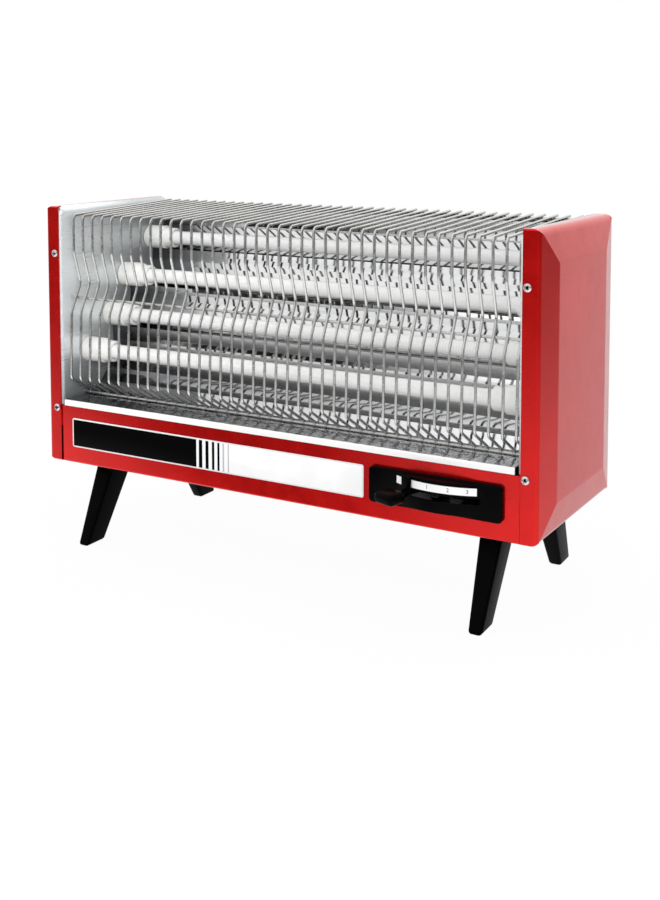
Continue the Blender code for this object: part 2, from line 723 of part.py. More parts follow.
def guard_rods():
    """Depth and height of each cross rod: under the rear of the wires, behind their waist, and at their toes."""
    profile = guard_profile()
    touch = (WIRE_DIAMETER + ROD_DIAMETER) / 2 - WELD
    rear, shoulder = profile[0], profile[1]
    slope = (rear.y - shoulder.y) / (rear.x - shoulder.x)
    rear_rod = Vector((rear.x - BACK_FLANGE / 2, rear.y - slope * BACK_FLANGE / 2 - touch))
    waist, lower, skirt, toe = profile[3:]
    down = (lower - waist).normalized()
    waist_rod = waist.lerp(lower, 0.5) + Vector((-down.y, down.x)) * touch
    back = (toe - skirt).normalized()
    toe_rod = toe - back * ROD_DIAMETER / 2 + Vector((back.y, -back.x)) * touch
    return [rear_rod, waist_rod, toe_rod]


def wire_guard():
    profile = fillet(guard_profile(), GUARD_BEND_RADII)
    paths = []
    for i in range(WIRE_COUNT):
        x = END_PLATE_X - GUARD_END_GAP - i * WIRE_PITCH
        paths.append([(x, depth(place.x), height(place.y)) for place in profile])
    guard = bent("wire_guard", paths, WIRE_DIAMETER, CHROME_WIRE)
    reach = END_PLATE_X + ROD_THROUGH
    ends = [((-reach, depth(p.x), height(p.y)), (reach, depth(p.x), height(p.y))) for p in guard_rods()]
    return join(guard, rods("guard_rods", ends, ROD_DIAMETER, sides=8))


# Legs
def leg(name, x, y, lean):
    bm = bmesh.new()
    low = (x - LEG_TOP_WIDTH / 2, depth(y - LEG_TOP_DEPTH / 2), 0)
    high = (x + LEG_TOP_WIDTH / 2, depth(y + LEG_TOP_DEPTH / 2), height(SHEET))
    for vert in add_box(bm, low, high):
        if vert.co.z < LEG_HEIGHT / 2:
            vert.co.x = x + (vert.co.x - x) * LEG_FOOT_WIDTH / LEG_TOP_WIDTH
            vert.co.y = depth(y + lean * LEG_SPLAY) + (vert.co.y - depth(y)) * LEG_FOOT_DEPTH / LEG_TOP_DEPTH
    shown = [e for e in bm.edges if min(v.co.z for v in e.verts) < LEG_HEIGHT / 2]
    bmesh.ops.bevel(bm, geom=shown, offset=LEG_EDGE_RADIUS, segments=3, profile=0.5, affect="EDGES")
    obj = add(name, mesh_of(name, bm), BLACK_PLASTIC)
    reach = LEG_SCREW_LENGTH + SHEET
    bore = [((x, depth(y), height(-reach)), (x, depth(y), height(2 * SHEET)))]
    cut(obj, rods(name + "_bore", bore, SCREW_SHANK + SCREW_CLEARANCE, sides=SMALL_SIDES))
    return smooth(obj, 25)


# Screws: a domed head and a plain shank, drawn head up
def screw(name, place, turn, length=SCREW_LENGTH):
    head, shank = SCREW_HEAD / 2, SCREW_SHANK / 2
    profile = [
        (0, SCREW_HEAD_HEIGHT),
        (0.55 * head, 0.85 * SCREW_HEAD_HEIGHT),
        (head, 0.35 * SCREW_HEAD_HEIGHT),
        (head, 0),
        (shank, 0),
        (shank, -length),
        (0, -length),
    ]
    return turned(name, profile, SMALL_SIDES, ZINC_STEEL, place, turn)


def lip_screws():
    forward = Matrix.Rotation(math.radians(90), 4, "X")
    backward = Matrix.Rotation(math.radians(-90), 4, "X")
    for side, side_name in ((-1, "left"), (1, "right")):
        x = side * (BODY_WIDTH / 2 - LIP_SCREW_INSET)
        heights = {"lower": LOW_SCREW_HEIGHT, "upper": BODY_HEIGHT - HIGH_SCREW_DROP}
        for level, z in heights.items():
            screw(f"front_screw_{side_name}_{level}", (x, depth(-FIT_GAP), height(z)), forward)
        for level, z in zip(("lower", "upper"), REAR_SCREW_HEIGHTS):
            screw(f"rear_screw_{side_name}_{level}", (x, depth(BODY_DEPTH + FIT_GAP), height(z)), backward)


# Back panel: a vented sheet between the side panels' rear lips, with a shelf under the guard's rear rod
def back_panel():
    half = BODY_WIDTH / 2 - 2 * SHEET
    rear = depth(BODY_DEPTH - SHEET - FIT_GAP)
    top = height(BODY_HEIGHT - BACK_TOP_DROP)
    shelf = END_PLATE_X - FIT_GAP
    panel = welded(
        "back_panel",
        [
            ((-half, rear - SHEET, height(SIDE_EDGE_RADIUS)), (half, rear, top)),
            ((-shelf, rear - BACK_FLANGE, top - SHEET), (shelf, rear - SHEET / 2, top)),
        ],
        ZINC_STEEL,
    )
    bm = bmesh.new()
    for z in VENT_ROW_HEIGHTS:
        for i in range(VENT_COUNT):
            x = (i - (VENT_COUNT - 1) / 2) * VENT_PITCH
            add_box(
                bm,
                (x - VENT_WIDTH / 2, rear - 2 * SHEET, height(z - VENT_HEIGHT / 2)),
                (x + VENT_WIDTH / 2, rear + SHEET, height(z + VENT_HEIGHT / 2)),
            )
    cut(panel, add("back_panel_vents", mesh_of("back_panel_vents", bm), None, cutters))
    holes = []
    for side in (-1, 1):
        x = side * (BODY_WIDTH / 2 - LIP_SCREW_INSET)
        for z in REAR_SCREW_HEIGHTS:
            holes.append(((x, rear - 2 * SHEET, height(z)), (x, rear + SHEET, height(z))))
    cut(panel, rods("back_panel_screw_holes", holes, SCREW_SHANK + SCREW_CLEARANCE, sides=SMALL_SIDES))
    gland = [((GLAND_X, rear - 2 * SHEET, height(GLAND_HEIGHT)), (GLAND_X, rear + SHEET, height(GLAND_HEIGHT)))]
    return cut(panel, rods("back_panel_gland_hole", gland, GLAND_DIAMETER + 2 * FIT_GAP))


def cord_gland():
    rear = BODY_DEPTH - SHEET - FIT_GAP
    body, flange, bore = GLAND_DIAMETER / 2, GLAND_FLANGE / 2, GLAND_BORE / 2
    loop = [
        (bore, GLAND_LENGTH),
        (bore, -GLAND_LENGTH / 2),
        (body, -GLAND_LENGTH / 2),
        (body, FIT_GAP),
        (flange, FIT_GAP),
        (flange, GLAND_LENGTH / 3),
        (body, GLAND_LENGTH),
    ]
    turn = Matrix.Rotation(math.radians(-90), 4, "X")
    place = (GLAND_X, depth(rear), height(GLAND_HEIGHT))
    return turned("cord_gland", loop, ROUND_SIDES, BLACK_PLASTIC, place, turn, closed=True)


# Control window: a rim, a collar through the panel and a convex front with a slot for the lever
def dial_block(name, radius, front_cut, low, high, where):
    """A block with a convex front, cut off flat behind at a given depth."""
    bm = bmesh.new()
    steps = 14
    reach = min(DIAL_HALF_ANGLE, math.acos(max(-1, (PIVOT_DEPTH - front_cut) / radius)))
    rim = []
    for i in range(steps + 1):
        angle = (2 * i / steps - 1) * reach
        rim.append((PIVOT_X + radius * math.sin(angle), depth(PIVOT_DEPTH - radius * math.cos(angle))))
    rim.append((rim[-1][0], depth(front_cut)))
    rim.append((rim[0][0], depth(front_cut)))
    verts = [bm.verts.new((x, y, height(low))) for x, y in rim]
    floor = bm.faces.new(verts)
    drawn = bmesh.ops.extrude_face_region(bm, geom=[floor])["geom"]
    moved = [v for v in drawn if isinstance(v, bmesh.types.BMVert)]
    bmesh.ops.translate(bm, verts=moved, vec=(0, 0, high - low))
    bmesh.ops.remove_doubles(bm, verts=bm.verts, dist=0.00001)
    return add(name, mesh_of(name, bm), None, where)


def sector(name, inner, outer, start, end, low, high, mat, where, steps=10):
    """A band around the lever's pivot, between two angles counted from straight ahead."""
    bm = bmesh.new()
    rim = []
    for radius, order in ((outer, range(steps + 1)), (inner, range(steps, -1, -1))):
        for i in order:
            angle = start + (end - start) * i / steps
            rim.append((PIVOT_X + radius * math.sin(angle), depth(PIVOT_DEPTH - radius * math.cos(angle))))
    verts = [bm.verts.new((x, y, height(low))) for x, y in rim]
    floor = bm.faces.new(verts)
    drawn = bmesh.ops.extrude_face_region(bm, geom=[floor])["geom"]
    moved = [v for v in drawn if isinstance(v, bmesh.types.BMVert)]
    bmesh.ops.translate(bm, verts=moved, vec=(0, 0, high - low))
    return add(name, mesh_of(name, bm), mat, where)


def control_bezel():
    low = (BEZEL_LEFT, depth(-BEZEL_PROUD), height(BEZEL_BOTTOM))
    high = (BEZEL_RIGHT, depth(-FIT_GAP), height(BEZEL_TOP))
    bezel = bevel(box("control_bezel", low, high, BLACK_PLASTIC), BEZEL_RIM / 2, 3)
    inset = BEZEL_RIM + FIT_GAP
    low = (BEZEL_LEFT + inset, depth(-BEZEL_PROUD / 2), height(BEZEL_BOTTOM + inset))
    high = (BEZEL_RIGHT - inset, depth(BEZEL_COLLAR_DEPTH), height(BEZEL_TOP - inset))
    join(bezel, box("bezel_collar", low, high, None, cutters))
    join(bezel, dial_block("bezel_dial", DIAL_RADIUS, -FIT_GAP, DIAL_BOTTOM, DIAL_TOP, cutters))
    hollow_low = DIAL_BOTTOM + DIAL_WALL + BEZEL_RIM / 2
    hollow_high = DIAL_TOP - DIAL_WALL - BEZEL_RIM / 2
    back = BEZEL_COLLAR_DEPTH + SHEET
    cut(bezel, dial_block("bezel_hollow", DIAL_RADIUS - DIAL_WALL, back, hollow_low, hollow_high, cutters))
    half_arm = math.asin(ARM_WIDTH / 2 / (DIAL_RADIUS - DIAL_WALL)) + SLOT_END_GAP
    slot = sector(
        "bezel_slot",
        DIAL_RADIUS - 2 * DIAL_WALL,
        DIAL_RADIUS + DIAL_WALL,
        LEVER_ANGLE - half_arm,
        LEVER_ANGLE + LEVER_SWEEP + half_arm,
        SLOT_BOTTOM,
        SLOT_TOP,
        None,
        cutters,
    )
    cut(bezel, slot)
    return bezel


def scale_strip():
    inner = DIAL_RADIUS + FIT_GAP
    outer = inner + SCALE_THICKNESS
    reach = SCALE_HALF_ANGLE
    return sector(
        "scale_strip", inner, outer, -reach, reach, SCALE_BOTTOM, SCALE_TOP, SCALE_WHITE, heater, 14
    )


# Lever: a hub on the switch shaft, an arm through the slot, a pointer over the scale and a finger grip
def selector_lever():
    middle = (SLOT_BOTTOM + SLOT_TOP) / 2
    arm_low, arm_high = middle - ARM_THICKNESS / 2, middle + ARM_THICKNESS / 2
    skin = DIAL_RADIUS + 2 * FIT_GAP + SCALE_THICKNESS
    neck = GRIP_REACH - GRIP_LENGTH / 2

    def across(x_low, x_high, reach_low, reach_high, low, high):
        return (x_low, -reach_high, low), (x_high, -reach_low, high)

    half = ARM_WIDTH / 2
    arm = box("selector_lever", *across(-half, half, 0, neck, arm_low, arm_high), BLACK_PLASTIC)
    pointer = across(-half, half, skin, skin + POINTER_THICKNESS, arm_low, POINTER_TOP)
    parts = [box("lever_pointer", *pointer, None, cutters)]
    stem = across(-half, half, skin + POINTER_THICKNESS / 2, neck, arm_low - SHEET, arm_high + SHEET)
    parts.append(box("lever_stem", *stem, None, cutters))
    grip = across(
        -GRIP_WIDTH / 2, GRIP_WIDTH / 2, GRIP_REACH - GRIP_LENGTH, GRIP_REACH, GRIP_BOTTOM, GRIP_TOP
    )
    parts.append(bevel(box("lever_grip", *grip, None, cutters), GRIP_RADIUS, 3))
    hub_low = arm_high - HUB_HEIGHT
    hub = [((0, 0, hub_low), (0, 0, arm_high + SHEET))]
    parts.append(rods("lever_hub", hub, HUB_DIAMETER))
    shaft = [((0, 0, hub_low - SHAFT_REACH), (0, 0, arm_high))]
    parts.append(rods("lever_shaft", shaft, SHAFT_DIAMETER, sides=12))
    place = Matrix.Translation((PIVOT_X, depth(PIVOT_DEPTH), LEG_HEIGHT)) @ Matrix.Rotation(LEVER_ANGLE, 4, "Z")
    for part in [arm, *parts]:
        part.matrix_world = place
    for part in parts:
        join(arm, part)
    return arm


# Rotary switch: a block under a bracket, bored for the lever's shaft
def rotary_switch():
    hub_low = (SLOT_BOTTOM + SLOT_TOP + ARM_THICKNESS) / 2 - HUB_HEIGHT
    plate_top = hub_low - BUSHING_REACH
    block_top = plate_top - SHEET - FIT_GAP
    x, y = PIVOT_X, depth(PIVOT_DEPTH)
    half = SWITCH_WIDTH / 2
    block_low = TRAY_TOP + PANEL_HEM / 2
    low, high = (x - half, y - half, height(block_low)), (x + half, y + half, height(block_top))
    switch = bevel(box("rotary_switch", low, high, BLACK_PLASTIC), SHEET, 1)
    bushing_top = hub_low - FIT_GAP
    bushing = [((x, y, height(block_top - SHEET)), (x, y, height(bushing_top)))]
    join(switch, rods("switch_bushing", bushing, BUSHING_DIAMETER))
    shaft_end = hub_low - SHAFT_REACH - 2 * FIT_GAP
    bore = [((x, y, height(shaft_end)), (x, y, height(hub_low)))]
    cut(switch, rods("switch_bore", bore, SHAFT_DIAMETER + 2 * FIT_GAP, sides=12))

    half_span, half_width = BRACKET_SPAN / 2, BRACKET_WIDTH / 2
    foot = height(TRAY_TOP + FIT_GAP)
    profile = [
        (x - half_span - BRACKET_FOOT, y - half_width, foot + SHEET),
        (x - half_span, y - half_width, foot + SHEET),
        (x - half_span, y - half_width, height(plate_top)),
        (x + half_span, y - half_width, height(plate_top)),
        (x + half_span, y - half_width, foot + SHEET),
        (x + half_span + BRACKET_FOOT, y - half_width, foot + SHEET),
    ]
    profile = [(px, 0, pz) for px, _, pz in profile]
    bracket = sheet("switch_bracket", profile, "Y", y - half_width, y + half_width, ZINC_STEEL)
    hole = [((x, y, height(block_top - SHEET)), (x, y, height(hub_low)))]
    cut(bracket, rods("bracket_hole", hole, BUSHING_DIAMETER + 2 * FIT_GAP))
    return switch


# Terminal block on the tray
def terminal_block():
    rear = depth(BODY_DEPTH - BLOCK_REAR_GAP)
    low = (BLOCK_X - BLOCK_LENGTH / 2, rear - BLOCK_WIDTH, height(TRAY_TOP + FIT_GAP))
    high = (BLOCK_X + BLOCK_LENGTH / 2, rear, height(TRAY_TOP + BLOCK_HEIGHT))
    block = bevel(box("terminal_block", low, high, WHITE_CERAMIC), SHEET, 1)
    holes = []
    for i in range(3):
        x = BLOCK_X + (i - 1) * BLOCK_LENGTH / 3
        y = rear - BLOCK_WIDTH / 2
        holes.append(((x, y, height(TRAY_TOP + BLOCK_HEIGHT / 2)), (x, y, height(TRAY_TOP + 2 * BLOCK_HEIGHT))))
    return cut(block, rods("terminal_block_wells", holes, BLOCK_LENGTH / 7, sides=SMALL_SIDES))


# Leads: the four coils' right ends to the switch, the switch to the block, and the block to the gland
def lead(name, points, mat):
    path = [Vector((x, depth(y), height(z))) for x, y, z in points]
    return bent(name, [fillet(path, [LEAD_DIAMETER] * len(path))], LEAD_DIAMETER, mat)


def leads():
    x = END_PLATE_X + PIN_REACH + FIT_GAP + LEAD_DIAMETER / 2
    behind_switch = PIVOT_DEPTH + SWITCH_WIDTH / 2 + FIT_GAP
    down = [(x, place.x, place.y) for place in TUBES]
    down.append((x, LEAD_DEPTH, LEAD_HEIGHT))
    down.append((PIVOT_X + LEAD_DIAMETER, LEAD_DEPTH, LEAD_HEIGHT))
    down.append((PIVOT_X + LEAD_DIAMETER, behind_switch, LEAD_HEIGHT))
    lead("heater_lead", down, WHITE_CERAMIC)
    well = (TRAY_TOP + BLOCK_HEIGHT / 2) + FIT_GAP
    above = TRAY_TOP + BLOCK_HEIGHT + 2 * LEAD_DIAMETER
    block_y = BODY_DEPTH - BLOCK_REAR_GAP - BLOCK_WIDTH / 2
    live = [
        (BLOCK_X, block_y, well),
        (BLOCK_X, block_y, above),
        (PIVOT_X - LEAD_DIAMETER, LEAD_DEPTH, LEAD_HEIGHT),
        (PIVOT_X - LEAD_DIAMETER, behind_switch, LEAD_HEIGHT),
    ]
    lead("switch_lead", live, BLACK_PLASTIC)
    side = BLOCK_X + BLOCK_LENGTH / 3
    mains = [
        (side, block_y, well),
        (side, block_y, above),
        (GLAND_X, BODY_DEPTH - 2 * GLAND_LENGTH, GLAND_HEIGHT),
        (GLAND_X, BODY_DEPTH + GLAND_LENGTH / 2, GLAND_HEIGHT),
    ]
    lead("mains_lead", mains, BLACK_PLASTIC)


# Everything
for panel_name, panel_side in (("left_side_panel", -1), ("right_side_panel", 1)):
    side_panel(panel_name, panel_side)
front_panel()
decal_plate()
chamber_floor()
base_tray()
end_plate("left_end_plate", -1)
end_plate("right_end_plate", 1)
for tube_number, tube_place in enumerate(TUBES, 1):
    heating_tube(tube_number, tube_place)
bus_bar()
reflector()
wire_guard()
back_panel()
cord_gland()
control_bezel()
scale_strip()
selector_lever()
rotary_switch()
terminal_block()
leads()
for leg_name, (leg_x, leg_y, leg_lean) in LEG_PLACES.items():
    leg(leg_name, leg_x, leg_y, leg_lean)
    place = (leg_x, depth(leg_y), height(TRAY_TOP + FIT_GAP))
    screw(leg_name + "_screw", place, Matrix.Identity(4), LEG_SCREW_LENGTH)
lip_screws()
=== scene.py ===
import math

import bmesh
import bpy
from mathutils import Matrix, Vector


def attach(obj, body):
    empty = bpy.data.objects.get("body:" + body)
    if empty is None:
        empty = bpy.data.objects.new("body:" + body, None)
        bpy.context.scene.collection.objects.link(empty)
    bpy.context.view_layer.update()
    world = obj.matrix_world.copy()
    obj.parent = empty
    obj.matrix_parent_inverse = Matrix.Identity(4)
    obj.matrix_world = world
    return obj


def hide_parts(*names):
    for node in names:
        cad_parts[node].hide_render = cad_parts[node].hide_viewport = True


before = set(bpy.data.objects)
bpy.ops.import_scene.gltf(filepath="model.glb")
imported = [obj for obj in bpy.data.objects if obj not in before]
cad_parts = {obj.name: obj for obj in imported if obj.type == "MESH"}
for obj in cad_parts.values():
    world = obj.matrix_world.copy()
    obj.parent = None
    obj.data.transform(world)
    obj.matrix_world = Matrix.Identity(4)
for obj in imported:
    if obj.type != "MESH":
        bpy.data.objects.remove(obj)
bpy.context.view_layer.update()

# Sizes, as in the part's source
BODY_WIDTH, BODY_HEIGHT, BODY_DEPTH = 0.560, 0.2784, 0.190
SHEET, GAP = 0.0012, 0.0003
SIDE_FLARE, SIDE_LIP, SIDE_LIP_REAR = 0.0065, 0.016, 0.032
SIDE_FIELD_INSET, SIDE_FIELD_RISE = 0.032, 0.0057
PANEL_HEIGHT, STRIP_HEIGHT = 0.0616, 0.0064
FLOOR_HEIGHT = PANEL_HEIGHT + GAP + STRIP_HEIGHT
END_PLATE_X = BODY_WIDTH / 2 - 0.0176 - SHEET
END_FLANGE = 0.0140
LEG_HEIGHT = 0.0908
MID_DEPTH = 0.09094672525
TUBES = [(0.155, 0.233), (0.10684, 0.194024), (0.07996, 0.152032), (0.043, 0.117)]
PIVOT = (0.188, 0.081)
LEVER_ANGLE, LEVER_TRAVEL = math.radians(-17), math.radians(39)
DIAL_RADIUS = 0.095
SCREW_X = BODY_WIDTH / 2 - 0.0112
FRONT_SCREWS = {"lower": 0.0585, "upper": BODY_HEIGHT - 0.051}
REAR_SCREWS = {"lower": 0.030, "upper": BODY_HEIGHT - 0.0304}

# Left, right, lowest and highest
BEZEL = (0.117, 0.249, 0.017, 0.051)
PLATE = (-0.247, 0.110, 0.018, 0.0495)


def depth(value):
    return value - MID_DEPTH


def height(value):
    return value + LEG_HEIGHT


def spot(x, y, z):
    """A place on the body: across, back from its front, up from its underside."""
    return x, depth(y), height(z)


class Shading:
    """A shader tree, with short ways to add to it."""

    def __init__(self, tree):
        self.tree = tree

    def node(self, kind, **settings):
        made = self.tree.nodes.new(kind)
        for key, value in settings.items():
            setattr(made, key, value)
        return made

    def link(self, output, socket):
        self.tree.links.new(output, socket)

    def plug(self, socket, value):
        """A number, a colour or an output put into an input."""
        if isinstance(value, bpy.types.NodeSocket):
            self.link(value, socket)
        else:
            socket.default_value = (*value, 1) if socket.type == "RGBA" else value

    def math(self, operation, *values):
        made = self.node("ShaderNodeMath", operation=operation)
        for socket, value in zip(made.inputs, values):
            self.plug(socket, value)
        return made.outputs[0]

    def spread(self, value, low, high, to_low, to_high, **settings):
        """A value from one range carried over to another."""
        made = self.node("ShaderNodeMapRange", **settings)
        ends = {"From Min": low, "From Max": high, "To Min": to_low, "To Max": to_high}
        for key, end in ends.items():
            made.inputs[key].default_value = end
        self.link(value, made.inputs["Value"])
        return made.outputs["Result"]

    def axes(self, vector):
        made = self.node("ShaderNodeSeparateXYZ")
        self.link(vector, made.inputs[0])
        return tuple(made.outputs)


# Materials: each one is a Principled shader driven by object coordinates
class Surface(Shading):
    def __init__(self, name, slot, roughness, metallic=0.0, **inputs):
        self.mat = bpy.data.materials.new(name)
        self.mat.use_nodes = True
        super().__init__(self.mat.node_tree)
        self.slot = slot
        self.shader = self.tree.nodes["Principled BSDF"]
        inputs = {"Roughness": roughness, "Metallic": metallic, **inputs}
        for key, value in inputs.items():
            self.shader.inputs[key.replace("_", " ")].default_value = value
        coordinates = self.node("ShaderNodeTexCoord")
        self.where, self.normal = (coordinates.outputs[key] for key in ("Object", "Normal"))

    def noise(self, scale, stretch=(1, 1, 1), detail=3.0, roughness=0.5):
        place = self.node("ShaderNodeMapping")
        place.inputs["Scale"].default_value = stretch
        self.link(self.where, place.inputs["Vector"])
        made = self.node("ShaderNodeTexNoise")
        for key, value in (("Scale", scale), ("Detail", detail), ("Roughness", roughness)):
            made.inputs[key].default_value = value
        self.link(place.outputs["Vector"], made.inputs["Vector"])
        return made.outputs["Fac"]

    def turns(self, scale, distortion=0.0):
        """Bands across the length, as of a wound wire."""
        made = self.node("ShaderNodeTexWave", bands_direction="X")
        made.inputs["Scale"].default_value = scale
        made.inputs["Distortion"].default_value = distortion
        self.link(self.where, made.inputs["Vector"])
        return made.outputs["Fac"]

    def ramp(self, factor, *stops):
        """The tones between two stops, each a place and a colour."""
        made = self.node("ShaderNodeValToRGB")
        for element, (place, color) in zip(made.color_ramp.elements, stops):
            element.position = place
            element.color = (*color, 1)
        self.link(factor, made.inputs["Fac"])
        return made.outputs["Color"]

    def mix(self, factor, a, b):
        """a where the factor is 0, b where it is 1."""
        made = self.node("ShaderNodeMix", data_type="RGBA")
        self.plug(made.inputs["Factor"], factor)
        for key, value in (("A", a), ("B", b)):
            self.plug(next(s for s in made.inputs if s.name == key and s.type == "RGBA"), value)
        return next(s for s in made.outputs if s.type == "RGBA")

    def color(self, value):
        self.plug(self.shader.inputs["Base Color"], value)

    def rough(self, value):
        self.plug(self.shader.inputs["Roughness"], value)

    def bump(self, factor, strength, distance, under=None):
        made = self.node("ShaderNodeBump")
        made.inputs["Strength"].default_value = strength
        made.inputs["Distance"].default_value = distance
        self.link(factor, made.inputs["Height"])
        if under is not None:
            self.link(under, made.inputs["Normal"])
        self.link(made.outputs["Normal"], self.shader.inputs["Normal"])
        return made.outputs["Normal"]


def red_enamel():
    """Red paint with metal flake under a thin clear coat, on a faintly uneven sheet."""
    coat = dict(Coat_Weight=0.70, Coat_Roughness=0.03, Coat_IOR=1.25)
    s = Surface("red_enamel", "red_paint", 0.25, 0.80, **coat)
    s.color(s.ramp(s.noise(9.0), (0.3, (0.60, 0.0030, 0.0020)), (0.7, (0.69, 0.0045, 0.0035))))
    s.rough(s.spread(s.noise(60.0), 0.3, 0.7, 0.22, 0.29))
    dents = s.bump(s.noise(22.0, detail=1.0), 0.035, 0.0006)
    s.bump(s.noise(420.0, detail=1.5), 0.04, 0.0001, dents)
    return s


def black_moulding(name, roughness=0.30, grain=0.08, sheen=0.03):
    s = Surface(name, "black_plastic", roughness, Specular_IOR_Level=sheen)
    dark, light = (0.0008, 0.0008, 0.0009), (0.0020, 0.0020, 0.0022)
    s.color(s.ramp(s.noise(14.0), (0.3, dark), (0.75, light)))
    s.rough(s.spread(s.noise(35.0), 0.3, 0.7, roughness - 0.08, roughness + 0.08))
    s.bump(s.noise(900.0, detail=2.0), grain, 0.0001)
    return s


def mirror_sheet():
    """Polished sheet, with painted shade low down, most toward the left, and along its left end."""
    s = Surface("mirror_sheet", "mirror_aluminium", 0.09, 1.0)
    rolled = s.noise(6.0, (0.5, 30.0, 30.0), 4.0)
    bright = s.ramp(rolled, (0.25, (0.70, 0.71, 0.72)), (0.75, (0.86, 0.86, 0.86)))
    x, _, z = s.axes(s.where)
    # Painted shade: darker low down, more so toward the left, and darker all along the left end.
    low = s.spread(z, height(0.105), height(0.145), 1.0, 0.0)
    low = s.math("MULTIPLY", low, s.spread(x, -0.27, 0.24, 0.70, 0.22))
    left_painted_shade = s.spread(x, -0.235, -0.13, 0.85, 0.0)
    s.color(s.mix(s.math("MAXIMUM", low, left_painted_shade), bright, (0.030, 0.033, 0.037)))
    s.rough(s.spread(s.noise(12.0, (1.0, 14.0, 14.0)), 0.3, 0.7, 0.02, 0.06))
    s.bump(s.noise(16.0, (1.0, 3.0, 3.0), 2.0), 0.12, 0.0012)
    return s


def floor_sheet_finish():
    """Mirror sheet with painted shade toward the left, whose turned-down front edge is satin."""
    s = Surface("floor_sheet_finish", "mirror_aluminium", 0.09, 1.0)
    x, y, _ = s.axes(s.where)
    satin = s.math("LESS_THAN", y, depth(0.0011))
    rolled = s.noise(8.0, (0.5, 20.0, 20.0))
    bright = s.ramp(rolled, (0.25, (0.55, 0.56, 0.57)), (0.75, (0.85, 0.85, 0.86)))
    # Painted shade: the sheet darker toward the left.
    bright = s.mix(s.spread(x, -0.25, 0.20, 0.50, 0.0), bright, (0.02, 0.02, 0.025))
    s.color(s.mix(satin, bright, (0.93, 0.93, 0.92)))
    s.rough(s.spread(satin, 0.0, 1.0, 0.06, 0.45))
    s.plug(s.shader.inputs["Metallic"], s.spread(satin, 0.0, 1.0, 1.0, 0.25))
    s.bump(s.noise(75.0, detail=2.0), 0.7, 0.0018)
    return s


def brushed_sheet():
    """Brushed sheet with painted shade low down, and darker toward the back."""
    s = Surface("brushed_sheet", "brushed_aluminium", 0.32, 0.62)
    brush = s.noise(55.0, (1.0, 0.25, 14.0), 4.0, 0.6)
    bright = s.ramp(brush, (0.25, (0.84, 0.88, 0.90)), (0.75, (0.94, 0.97, 0.98)))
    _, y, z = s.axes(s.where)
    # Painted shade: darker low down; the sheet is also darker toward the back.
    low = s.spread(z, height(0.070), height(0.135), 0.6, 0.0)
    far = s.spread(y, depth(0.040), depth(0.130), 0.0, 0.5)
    s.color(s.mix(s.math("MAXIMUM", low, far), bright, (0.10, 0.12, 0.13)))
    s.rough(s.spread(brush, 0.3, 0.7, 0.26, 0.42))
    s.bump(brush, 0.07, 0.0001)
    return s


def plated_wire():
    """Bright plating, with painted shade on the side that faces back and down, toward the tubes."""
    s = Surface("plated_wire", "chrome_wire", 0.20, 1.0)
    bright = s.ramp(s.noise(30.0), (0.3, (0.54, 0.535, 0.52)), (0.7, (0.68, 0.675, 0.655)))
    # Painted shade: the side facing back and down, toward the tubes, is darkened almost to black.
    facing = s.node("ShaderNodeVectorMath", operation="DOT_PRODUCT")
    facing.inputs[1].default_value = (0.0, 0.85, -0.53)
    s.link(s.normal, facing.inputs[0])
    painted_shade_side = s.spread(facing.outputs["Value"], 0.0, 0.45, 0.0, 0.93)
    s.color(s.mix(painted_shade_side, bright, (0.015, 0.015, 0.015)))
    s.rough(s.spread(s.noise(120.0), 0.3, 0.7, 0.20, 0.34))
    s.bump(s.noise(700.0), 0.10, 0.0001)
    return s


def milky_quartz():
    """White glass with faint bands, as of the coil behind it."""
    coat = dict(Coat_Weight=0.5, Coat_Roughness=0.05)
    s = Surface("milky_quartz", "white_quartz", 0.22, IOR=1.46, **coat)
    s.color(s.ramp(s.turns(110.0, 0.6), (0.1, (0.90, 0.90, 0.89)), (0.8, (0.95, 0.95, 0.94))))
    s.bump(s.noise(40.0, (0.3, 1.0, 1.0)), 0.10, 0.0003)
    return s


def fired_ceramic():
    coat = dict(Coat_Weight=0.3, Coat_Roughness=0.2)
    s = Surface("fired_ceramic", "white_ceramic", 0.42, **coat)
    s.color(s.ramp(s.noise(90.0), (0.3, (0.90, 0.90, 0.88)), (0.7, (0.97, 0.97, 0.95))))
    s.bump(s.noise(800.0), 0.15, 0.0001)
    return s


def zinc_plate(name="zinc_plate", low=0.38, high=0.62, recess_shade=False):
    """Plated steel with a fine spangle; for the screws, the middle of each head, round its cross
    recess, has painted shade, near black.
    """
    s = Surface(name, "zinc_steel", 0.30, 1.0)
    spangle = s.node("ShaderNodeTexVoronoi")
    spangle.inputs["Scale"].default_value = 160.0
    s.link(s.where, spangle.inputs["Vector"])
    grain = s.spread(spangle.outputs["Distance"], 0.0, 0.8, 0.0, 1.0)
    tone = s.ramp(grain, (0.0, (low, low, low + 0.01)), (1.0, (high, high, high + 0.01)))
    if recess_shade:
        # Painted shade: near black within a small circle round each screw's middle, where the cross
        # recess is.
        middle = 0.0016
        x, _, z = s.axes(s.where)
        aside = s.math("SUBTRACT", s.math("ABSOLUTE", x), SCREW_X)
        above = 1.0
        for level in (*FRONT_SCREWS.values(), *REAR_SCREWS.values()):
            rise = s.math("ABSOLUTE", s.math("SUBTRACT", z, height(level)))
            above = s.math("MINIMUM", above, rise)
        aside, above = (s.math("MULTIPLY", run, run) for run in (aside, above))
        near = s.math("LESS_THAN", s.math("ADD", aside, above), middle**2)
        tone = s.mix(near, tone, (0.004, 0.004, 0.004))
    s.color(tone)
    s.rough(s.spread(s.noise(70.0), 0.3, 0.7, 0.22, 0.38))
    s.bump(s.noise(500.0), 0.10, 0.0001)
    return s


